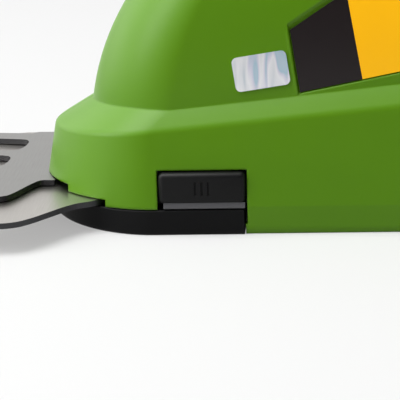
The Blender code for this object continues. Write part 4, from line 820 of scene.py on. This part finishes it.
def shell_cutters(side):
    """What is cut out of one shell, and what was used to make those cutters."""
    wide = 80 * MM
    lock_slot = block("lock_slot", mm(-9.5, -2.75, -8), mm(5.5, 2.75, 8))
    lock_slot.matrix_world = lock_place()
    near, out = sorted((side * (BODY_HALF - 8 * MM), side * (BODY_HALF + 12 * MM)))
    core = loft("seat_core", handle_rings(SLEEVE_SEAT, SLEEVE_START - 0.3, SLEEVE_STOP + 0.3, 44))
    seat = carve(loft("seat", handle_rings(-5 * MM, SLEEVE_START, SLEEVE_STOP, 40)), cut=[core])
    panel, used = under_dome("panel", label_outline(), side, -5 * MM, 1.1 * MM, 20)
    rims = [block("rim_" + name, (-wide, -wide, -0.01), (stop * MM, wide, top * MM))
            for name, stop, top in RIM]
    holes = [cross_rod(name, radius * MM, x, z, start * MM, sides) for x, z in SCREWS
             for name, radius, start, sides in SCREW_HOLES]
    return [*rims,
            block("pocket", (1.9 * MM, near, 3.3 * MM), (29.3 * MM, out, 20.1 * MM)),
            panel, panel_walls(side),
            block("bay", mm(190, -26.5, 2.65), mm(244, 26.5, 45.4)),
            block("trigger_slot", mm(96, -6.5, 60), mm(134, 6.5, 104)),
            lock_slot, seat, *holes,
            other_half(side, GAP / 2, -0.4, 0.4)], [core, *used]


hollow = make_hollow()
for side, word in SIDES:
    forms = [loft("dome", dome_rings()), loft("grip", handle_rings()), panel_bead(side)]
    cutters, used = shell_cutters(side)
    shell = carve(loft("shell", skirt_rings()), join=forms, cut=[hollow, *cutters])
    shell = keep_mesh(shell, "housing_" + word, *forms, *cutters, *used)
    finish_piece(shell, green_abs, [word + "_shell"], sharp=24)
bpy.data.objects.remove(hollow, do_unlink=True)

# %% Label films and foil
for side, word in SIDES:
    film, used = under_dome("film", label_outline(GAP), side, 0.3 * MM, 0.8 * MM)
    finish_piece(keep_mesh(film, word + "_film", *used), label_mat, [word + "_label"])
film, used = under_dome("film", sticker_outline(), -1, -0.45 * MM, -0.15 * MM)
finish_piece(keep_mesh(film, "foil", *used), foil_mat, ["foil_sticker"])

# %% [markdown]
# The blade base is one moulding: a low tray that follows the nose above it, with its lower edge
# rounded so that it slides over grass. It is lofted from rings and hollowed like the real tray.

# %% Blade base
BASE_FLOOR, BASE_REAR, BASE_NOSE_IN = mm(2.4, 28.4, 2.2)
BLADE_SCREWS = ((14, 15.5), (14, -15.5), (-9, 17.5), (-9, -17.5))
# the tray's wall from below: (how far in, height), with the rounded lower edge first
TRAY = ((0.7, 0.0), (0.35, 0.3), (0.12, 0.8), (0.03, 1.6), (0.0, 3.0), (0.0, 7.6), (0.3, 8.0))


def base_rings(inset, rows):
    """Rings of the tray from rows of (how far in, height) in millimetres."""
    rings = []
    for extra, z in (mm(*row) for row in rows):
        front = NOSE_FRONT - BASE_NOSE_IN - extra - inset
        rings.append(plan(front, BODY_HALF - extra - inset, BASE_REAR - inset, front, 0.15 * MM,
                          lambda x, h=z: h))
    return rings


def upright(name, radius, x, y, low, sides):
    """An upright rod from a given height to well above the tray."""
    return rod(name, radius, (x, y, low), (x, y, 0.03), sides)


keeps = [upright("post", 8.2 * MM, 0, 0, -0.005, 32), block("rib", mm(-50, -1.2, -5), mm(60, 1.2, 30)),
         block("rib", mm(4, -60, -5), mm(6.4, 60, 30))]
drills = [upright("seat", 5.5 * MM, 0, 0, BASE_FLOOR, 32)]
for x, y in (mm(*spot) for spot in BLADE_SCREWS):
    keeps.append(upright("post", 3.6 * MM, x, y, -0.005, 20))
    drills.append(upright("drill", 1.75 * MM, x, y, BASE_FLOOR, 16))
room = carve(loft("room", base_rings(WALL, ((0.0, 2.4), (0.0, 13)))), cut=keeps)
tray = carve(loft("tray", base_rings(0.0, TRAY)), cut=[room, *drills])
finish_piece(keep_mesh(tray, "blade_tray", room, *keeps, *drills), black_nylon, ["blade_base"], sharp=28)

# %% [markdown]
# Some things on the tool repeat or follow a path: the ribs of the soft sleeve, the screws, the grip
# lines on the small sliders. Geometry Nodes suit these, because one small tree with named sizes lays
# them all out, and a size can be changed without building anything again by hand. The helpers do the
# common work: start a tree with its named inputs, end it, and run it on a working mesh.

# %% Geometry Nodes helpers


def start_tree(name, sizes):
    """A Geometry Nodes tree with a mesh in and out, named inputs and a finish; gives tree, inputs, end."""
    tree = bpy.data.node_groups.new(name, 'GeometryNodeTree')
    tree.interface.new_socket("Mesh", in_out='INPUT', socket_type='NodeSocketGeometry')
    tree.interface.new_socket("Mesh", in_out='OUTPUT', socket_type='NodeSocketGeometry')
    for label, kind in {**sizes, "Finish": 'Material'}.items():
        tree.interface.new_socket(label, in_out='INPUT', socket_type='NodeSocket' + kind)
    return tree, tree.nodes.new('NodeGroupInput').outputs, tree.nodes.new('NodeGroupOutput')


def end_tree(tree, made, given, end):
    """What closes every tree: copies are made real, get the finish and go out."""
    whole = add(tree, 'GeometryNodeRealizeInstances', {"Geometry": made})
    finished = add(tree, 'GeometryNodeSetMaterial', {"Geometry": whole, "Material": given["Finish"]})
    feed(tree, end, {"Mesh": finished})
    return tree


def copies_on(tree, points, thing, **more):
    """Copies of an object on points."""
    copy = add(tree, 'GeometryNodeObjectInfo', {"Object": thing}, transform_space='ORIGINAL')
    return add(tree, 'GeometryNodeInstanceOnPoints', {"Points": points, "Instance": copy.outputs["Geometry"],
                                                      **more})


def run_tree(thing, tree, name, values, *used):
    """Sets the tree's inputs by their identifiers, runs it on a working object and keeps the mesh."""
    step = thing.modifiers.new("tree", 'NODES')
    step.node_group = tree
    for item in tree.interface.items_tree:
        if item.in_out == 'INPUT' and item.name in values:
            step[item.identifier] = values[item.name]
    return keep_mesh(thing, name, *used)


# %% [markdown]
# The grip sleeve is moulded over the handle in soft elastomer. Its grooves run across the grip at an
# even pitch. They are deepest below, where the fingers pull, and fade out on top, where the palm lies.
# The tube is lofted along the same line as the handle, each outer corner carries how far along the
# line it lies, and a tree pushes the skin in wherever a wave along that distance says so.

# %% Grip sleeve
# how far short of its seat the sleeve ends, counted in points of the handle
SLEEVE_GAP = 0.012
SLEEVE_WALL, SLEEVE_ROUND, GROOVE_PITCH, GROOVE_DEPTH = mm(1.3, 0.35, 4.4, 0.55)


def sleeve_tube(start, stop, steps=110, sides=48):
    """Closed tube between the handle's skin and the seat; its outer skin carries the distance along."""
    outer = handle_rings(0.0, start, stop, steps, sides)
    ends = handle_rings(SLEEVE_ROUND, start, stop, steps, sides)
    outer[0], outer[-1] = ends[0], ends[-1]
    loop = outer + handle_rings(SLEEVE_WALL, start, stop, steps // 4, sides)[::-1]

    def build(bm):
        run = bm.verts.layers.float.new("run")
        rows, passed, before = [], 0.0, None
        for k, ring in enumerate(loop):
            middle = sum(ring, Vector()) / sides
            if 0 < k < len(outer):
                passed += (middle - before).length
            before = middle
            rows.append([bm.verts.new(point) for point in ring])
            for vert in rows[-1]:
                vert[run] = passed if 2 < k < len(outer) - 3 else -1.0
        join_rings(bm, rows, around=True)
    return working("sleeve", build)


def groove_tree():
    """Pushes the skin in by Depth in a wave of the given Pitch along the distance called run."""
    tree, given, end = start_tree("grip_grooves", {"Pitch": 'Float', "Depth": 'Float'})
    run = add(tree, 'GeometryNodeInputNamedAttribute', {"Name": "run"}, data_type='FLOAT')
    turns = add(tree, 'ShaderNodeMath', {0: run, 1: given["Pitch"]}, operation='DIVIDE')
    angle = add(tree, 'ShaderNodeMath', {0: turns, 1: 2 * math.pi}, operation='MULTIPLY')
    wave = add(tree, 'ShaderNodeMath', {0: angle}, operation='COSINE')
    narrow = add(tree, 'ShaderNodeMapRange', {"Value": wave, "From Min": 0.35, "From Max": 0.85},
                 interpolation_type='SMOOTHSTEP')
    normal = add(tree, 'GeometryNodeInputNormal')
    up = add(tree, 'ShaderNodeSeparateXYZ', {"Vector": normal}).outputs["Z"]
    low = add(tree, 'ShaderNodeMapRange', {"Value": up, "From Min": 0.25, "From Max": 0.7, "To Min": 1.0,
                                           "To Max": 0.0}, interpolation_type='SMOOTHSTEP')
    share = add(tree, 'ShaderNodeMath', {0: narrow, 1: low}, operation='MULTIPLY')
    deep = add(tree, 'ShaderNodeMath', {0: share, 1: given["Depth"]}, operation='MULTIPLY')
    inward = add(tree, 'ShaderNodeMath', {0: deep, 1: -1.0}, operation='MULTIPLY')
    push = add(tree, 'ShaderNodeVectorMath', {0: normal, "Scale": inward}, operation='SCALE')
    outer = add(tree, 'ShaderNodeMath', {0: run, 1: 0.0}, operation='GREATER_THAN')
    moved = add(tree, 'GeometryNodeSetPosition', {"Geometry": given["Mesh"], "Selection": outer,
                                                  "Offset": push})
    return end_tree(tree, moved, given, end)


sleeve = run_tree(sleeve_tube(SLEEVE_START + SLEEVE_GAP, SLEEVE_STOP - SLEEVE_GAP), groove_tree(),
                  "sleeve_with_grooves", {"Pitch": GROOVE_PITCH, "Depth": GROOVE_DEPTH, "Finish": rubber})
finish_piece(sleeve, rubber, ["grip_sleeve"], sharp=60)

# %% [markdown]
# Every screw of one kind is the same part, so each kind is turned once, its star recess is cut once, and
# a tree sets a copy on each point of a list. Tool makers use a six-lobed recess, which holds the bit
# well. The heads sit deep in the housing's screw holes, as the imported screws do.

# %% One screw
# radius of the shank and of the head, mean radius of the recess and height of its lobes as shares
SHANK, HEAD, RECESS_SHARE, LOBE_SHARE = 1.45 * MM, 2.9 * MM, 0.46, 0.16


def circle(radius, sides):
    """Corners of a regular outline about the origin."""
    return [(radius * math.cos(2 * math.pi * i / sides), radius * math.sin(2 * math.pi * i / sides))
            for i in range(sides)]


def turned(name, profile, sides=28):
    """A round solid about Z from (radius, height) points, from its top down."""
    def build(bm):
        rows = []
        for radius, z in profile:
            spots = [(0.0, 0.0)] if radius == 0 else circle(radius, sides)
            rows.append([bm.verts.new((x, y, z)) for x, y in spots])
        for a, b in zip(rows, rows[1:]):
            for i in range(sides):
                j = (i + 1) % sides
                corners = [a[i % len(a)], b[i % len(b)], b[j % len(b)], a[j % len(a)]]
                bm.faces.new(list(dict.fromkeys(corners)))
    return working(name, build)


def screw_body(head, length):
    """Pan head, shank and blunt end, with a six-lobed recess in the head; the head's seat is at z = 0."""
    soft = 0.25 * head
    screw = turned("screw", [(0, head), (0.7 * HEAD, head), (0.9 * HEAD, head - 0.5 * soft),
                             (HEAD, head - 1.6 * soft), (HEAD, 0), (SHANK, 0), (SHANK, -length + SHANK),
                             (0.3 * SHANK, -length), (0, -length)])
    lobes = []
    for k in range(48):
        a = 2 * math.pi * k / 48
        reach = RECESS_SHARE * HEAD * (1 + LOBE_SHARE * math.cos(6 * a))
        lobes.append((reach * math.cos(a), reach * math.sin(a)))
    star = loft("star", [[Vector((x, y, z)) for x, y in lobes] for z in (0.3 * head, head + 1 * MM)])
    return keep_mesh(carve(screw, cut=[star]), "screw_body", star)


# %% Screws on their places
# (piece, node, how many, height of the head, axis of the screw, which way its head looks, turn)
KINDS = (("housing_screws", "housing_screw_", 6, 2.2, 1, 1, (-math.pi / 2, 0, 0)),
         ("blade_screws", "blade_screw_", 4, 1.6, 2, 1, (0, 0, 0)),
         ("case_screws", "case_screw_", 2, 1.8, 2, -1, (math.pi, 0, 0)))


def scatter_tree():
    """Sets the object Copy, turned by Turn, on every point of the mesh."""
    tree, given, end = start_tree("copies_on_points", {"Copy": 'Object', "Turn": 'Vector'})
    spin = add(tree, 'FunctionNodeEulerToRotation', {"Euler": given["Turn"]})
    return end_tree(tree, copies_on(tree, given["Mesh"], given["Copy"], Rotation=spin), given, end)


def points_only(places):
    """A working mesh of loose points."""
    data = bpy.data.meshes.new("points")
    data.from_pydata([Vector(p) for p in places], [], [])
    return show("points", data)


COPIES = scatter_tree()
for name, stem, count, head, axis, sense, turn in KINDS:
    nodes, head, places = [stem + str(n) for n in range(1, count + 1)], head * MM, []
    for node in nodes:
        low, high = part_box(node)
        place = [(a + b) / 2 for a, b in zip(low, high)]
        place[axis] = high[axis] - head if sense > 0 else low[axis] + head
        places.append(place)
    low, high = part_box(nodes[0])
    body = screw_body(head, high[axis] - low[axis] - head)
    sizes = {"Copy": body, "Turn": turn, "Finish": screw_steel}
    finish_piece(run_tree(points_only(places), COPIES, name, sizes, body), screw_steel, nodes)

# %% [markdown]
# The release buttons are small dark caps, softly rounded, with three short engraved lines that help the
# thumb find them. A lip runs along the foot of each, where it meets the blade base; its outer faces are
# painted paler, a painted reflection of the bright floor. Behind the face a flange keeps the button in
# the housing, and a round seat takes its spring.

# %% Release buttons
# the lip seen from the front: (distance from the middle plane, height)
LIP_OUTLINE = ((28.6, 8.5), (34.7, 8.5), (34.85, 8.75), (34.35, 10.3), (28.6, 10.3))
SEAT_X, SEAT_Z, LIP_TOP, LIP_FACE = mm(15.6, 16.5, 10.3, 34.3)
MARK_PLACES = (13.6, 15.6, 17.6)


def soft_box(name, low, high, radius, steps=4):
    """A box whose edges are rounded."""
    return round_edges(block(name, low, high), radius, steps)


def side_block(name, side, x, y, z, make=block, *more):
    """A block on one side of the tool, from its ranges in millimetres; y counts from the middle plane."""
    low_y, high_y = sorted(side * value * MM for value in y)
    return make(name, (x[0] * MM, low_y, z[0] * MM), (x[1] * MM, high_y, z[1] * MM), *more)


def cap_face(face):
    """The lip's outer faces get a paler grey than the rest of the cap, a painted reflection of the bright
    floor.
    """
    return int(face.center.z < LIP_TOP and abs(face.normal.z) < 0.6 and abs(face.center.y) > LIP_FACE)


for side, word in SIDES:
    cap = side_block("cap", side, (2.4, 28.8), (28.6, 34.9), (9.9, 19.6), soft_box, 1.5 * MM)
    lip = loft("lip", [[Vector((x, side * y * MM, z * MM)) for y, z in LIP_OUTLINE] for x in mm(3.8, 28.6)])
    flange = side_block("flange", side, (0.6, 30.6), (27.6, 29.8), (8.5, 21.4))
    seat = rod("seat", 4 * MM, (SEAT_X, side * 20 * MM, SEAT_Z), (SEAT_X, side * 29.6 * MM, SEAT_Z), 32)
    marks = [side_block("mark", side, (x - 0.3, x + 0.3), (34.4, 36), (12.6, 16.9)) for x in MARK_PLACES]
    carve(cap, join=[lip, flange], cut=[seat, *marks])
    finish_piece(keep_mesh(cap, "release_cap_" + word, lip, flange, seat, *marks), dark_abs,
                 ["release_button_" + word], sharp=30, more=(lip_painted_reflection,), choose=cap_face)

# %% [markdown]
# The lock-off button and the battery latch are worked with a thumb or finger, so each carries a few
# grip lines. A tree lays bars out in a row, and the row is cut out of the button's face: cut lines
# can't wear off, and they don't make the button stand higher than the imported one.

# %% Grip lines


def row_tree():
    """A row of bars: Count copies of the object Bar, each moved on by Step."""
    tree, given, end = start_tree("bars_in_a_row", {"Bar": 'Object', "Count": 'Int', "Start": 'Vector',
                                                    "Step": 'Vector'})
    line = add(tree, 'GeometryNodeMeshLine', {"Count": given["Count"], "Start Location": given["Start"],
                                              "Offset": given["Step"]})
    return end_tree(tree, copies_on(tree, line, given["Bar"]), given, end)


ROW = row_tree()


def row_of_bars(low, high, count, start, step):
    """A row of bars as one working object; the first bar is given by its corners and moved by start."""
    bar = block("bar", low, high)
    return run_tree(points_only([(0, 0, 0)]), ROW, "row", {"Bar": bar, "Count": count, "Start": start,
                                                           "Step": step, "Finish": dark_abs}, bar)


lock = soft_box("lock", mm(-7, -4.5, 0.5), mm(7, 4.5, 3.6), 1.0 * MM)
forms = [block("stem", mm(-5, -2.25, -5.5), mm(5, 2.25, 1.5)),
         block("foot", mm(-5, -4.5, -5.5), mm(5, 4.5, -3.8))]
bars = row_of_bars(mm(-0.4, -3.4, 3.1), mm(0.4, 3.4, 4.6), 5, mm(-3.6, 0, 0), mm(1.8, 0, 0))
slider = keep_mesh(carve(lock, join=forms, cut=[bars]), "lock_slider", bars, *forms)
slider.data.transform(lock_place())
finish_piece(slider, dark_abs, ["lock_off_button"], sharp=30)
latch_low, latch_high = (Vector(corner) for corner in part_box("battery_latch"))
bars = row_of_bars((latch_high.x - 0.6 * MM, *mm(-7.5, -0.45)), (latch_high.x + 2 * MM, *mm(7.5, 0.45)), 3,
                   (0, 0, (latch_low.z + latch_high.z) / 2 - 2.0 * MM), mm(0, 0, 2.0))
latch = carve(soft_box("latch", latch_low, latch_high, 0.9 * MM), cut=[bars])
finish_piece(keep_mesh(latch, "latch_button", bars), dark_abs, ["battery_latch"], sharp=30)

# %% [markdown]
# The battery pack is two glued shells of a coarse-grained plastic. Its edges are well rounded, since it
# is handled often, and its sides have a few finger lines at the rear end for pulling it out. It keeps
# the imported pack's slots for the contacts, its latch pocket and the seat of the charge lamp.

# %% Battery pack
# the seam lies this far up and is this high and deep; its cutter starts a little outside the case
SEAM_UP, SEAM_HIGH, SEAM_DEEP, SEAM_OUT = mm(12, 0.4, 0.35, 1)
# finger lines: depth, half width, distance from the top and the bottom, and from line to line
FINGER_DEEP, FINGER_HALF, FINGER_IN, FINGER_STEP = mm(0.7, 0.7, 9, 2.8)
# what sits in the rear face: (cut, node, gap around it, gap in front of it)
SEATS = (("pocket", "battery_latch", SLIDE, 3.0 * MM), ("window", "charge_lamp", GAP, GAP))
low, high = (Vector(corner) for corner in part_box("battery_pack"))
cuts = []
for side, _ in SIDES:
    y = side * 8 * MM
    cuts.append(block("slot", (low.x - 5 * MM, y - 1.4 * MM, 18 * MM),
                      (low.x + 12 * MM, y + 1.4 * MM, 30 * MM)))
    near, far = sorted((side * (high.y - FINGER_DEEP), side * (high.y + 3 * MM)))
    cuts.append(row_of_bars((-FINGER_HALF, near, low.z + FINGER_IN), (FINGER_HALF, far, high.z - FINGER_IN),
                            5, (high.x - 16 * MM, 0, 0), (FINGER_STEP, 0, 0)))
for name, node, gap, front in SEATS:
    a, b = (Vector(corner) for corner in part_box(node))
    cuts.append(block(name, (a.x - front, a.y - gap, a.z - gap), (high.x + 5 * MM, b.y + gap, b.z + gap)))
seam = block("seam", (low.x - SEAM_OUT, low.y - SEAM_OUT, 0),
             (high.x + SEAM_OUT, high.y + SEAM_OUT, SEAM_HIGH))
inside = block("inside", (low.x + SEAM_DEEP, low.y + SEAM_DEEP, -1 * MM),
               (high.x - SEAM_DEEP, high.y - SEAM_DEEP, 2 * MM))
seam_ring = keep_mesh(carve(seam, cut=[inside]), "seam_ring", inside)
seam_ring.data.transform(Matrix.Translation((0, 0, low.z + SEAM_UP)))
case = carve(soft_box("case", low, high, 3.0 * MM, 6), cut=[seam_ring, *cuts])
finish_piece(keep_mesh(case, "battery_case", seam_ring, *cuts), pack_abs, ["battery_pack"], sharp=30)

# %% [markdown]
# A plain floor and soft light: one broad light above and in front for the highlight on the nose, a
# lower one on the left to lift the near side, and a pale sky all round. The camera sees white where it
# sees no object, and the floor keeps the shadow.

# %% Floor
WHITE, FLOOR_GLOW = (1.0, 1.0, 1.0, 1.0), 0.35
floor = block("floor", (-3.0, -3.0, -0.02), (3.0, 3.0, 0.0))
floor_mat, tree, shader = start_material("pale_floor", "F2F2F2", 0.9)
rays = add(tree, 'ShaderNodeLightPath').outputs
seen = add(tree, 'ShaderNodeMath', {0: rays["Is Camera Ray"], 1: rays["Is Glossy Ray"]}, operation='MAXIMUM')
seen = add(tree, 'ShaderNodeMath', {0: seen, 1: rays["Is Transmission Ray"]}, operation='MAXIMUM')
tone = add(tree, 'ShaderNodeMix', {"Factor": seen, 6: colour("B0B0B0"), 7: colour("DCDCDC")},
           data_type='RGBA')
feed(tree, shader, {"Base Color": tone})
share = add(tree, 'ShaderNodeMath', {0: seen, 1: FLOOR_GLOW}, operation='MULTIPLY')
glow = add(tree, 'ShaderNodeEmission', {"Color": WHITE, "Strength": 1.0})
both = add(tree, 'ShaderNodeMixShader', {0: share, 1: shader, 2: glow})
feed(tree, tree.nodes["Material Output"], {"Surface": both})
floor.data.materials.append(floor_mat)
print("floor at z = 0,", round(floor.dimensions.x, 1), "m wide")

# %% Lights
LIGHTS_AIM = Vector((0.0, 0.0, 0.03))
for name, watts, size, place in (("top_light", 12.8, 0.9, Vector((-0.35, -0.15, 1.15))),
                                 ("left_light", 7.3, 0.8, Vector((-1.2, -0.45, 0.72)))):
    light = bpy.data.lights.new(name, 'AREA')
    light.energy, light.shape, light.size = watts, 'DISK', size
    lamp = show(name, light)
    lamp.location = place
    lamp.rotation_euler = (LIGHTS_AIM - place).to_track_quat('-Z', 'Y').to_euler()
    print(name, watts, "W,", round((LIGHTS_AIM - place).length, 2), "m away")

# %% Sky
# plain light of the sky, what is mirrored from in front, the bright patch and where it is
SKY_LEVEL, FRONT_LEVEL, PATCH_LEVEL, PATCH_TOWARD = 0.42, 0.05, 3.0, (-0.75, -0.1, 0.65)
world = bpy.data.worlds.new("studio")
bpy.context.scene.world = world
world.use_nodes = True
tree = world.node_tree
rays = add(tree, 'ShaderNodeLightPath').outputs
toward = add(tree, 'ShaderNodeTexCoord').outputs["Generated"]
# in reflections the room is dark in front, bright behind, and has a soft bright patch up on the left
depth = add(tree, 'ShaderNodeSeparateXYZ', {"Vector": toward}).outputs["Y"]
behind = add(tree, 'ShaderNodeMapRange', {"Value": depth, "From Min": -0.35, "From Max": 0.35,
                                          "To Min": FRONT_LEVEL, "To Max": 1.0},
             interpolation_type='SMOOTHSTEP')
near = add(tree, 'ShaderNodeVectorMath', {0: toward, 1: PATCH_TOWARD}, operation='DOT_PRODUCT')
patch = add(tree, 'ShaderNodeMapRange', {"Value": near, "From Min": 0.35, "From Max": 0.95, "To Min": 0.0,
                                         "To Max": PATCH_LEVEL}, interpolation_type='SMOOTHSTEP')
level, mirrored = SKY_LEVEL, add(tree, 'ShaderNodeMath', {0: behind, 1: patch}, operation='ADD')
for ray, strength in (("Is Glossy Ray", mirrored), ("Is Transmission Ray", 1.0), ("Is Camera Ray", 1.0)):
    level = add(tree, 'ShaderNodeMix', {0: rays[ray], 2: level, 3: strength})
feed(tree, tree.nodes["Background"], {"Color": WHITE, "Strength": level})
bpy.context.scene.view_settings.view_transform = 'Standard'
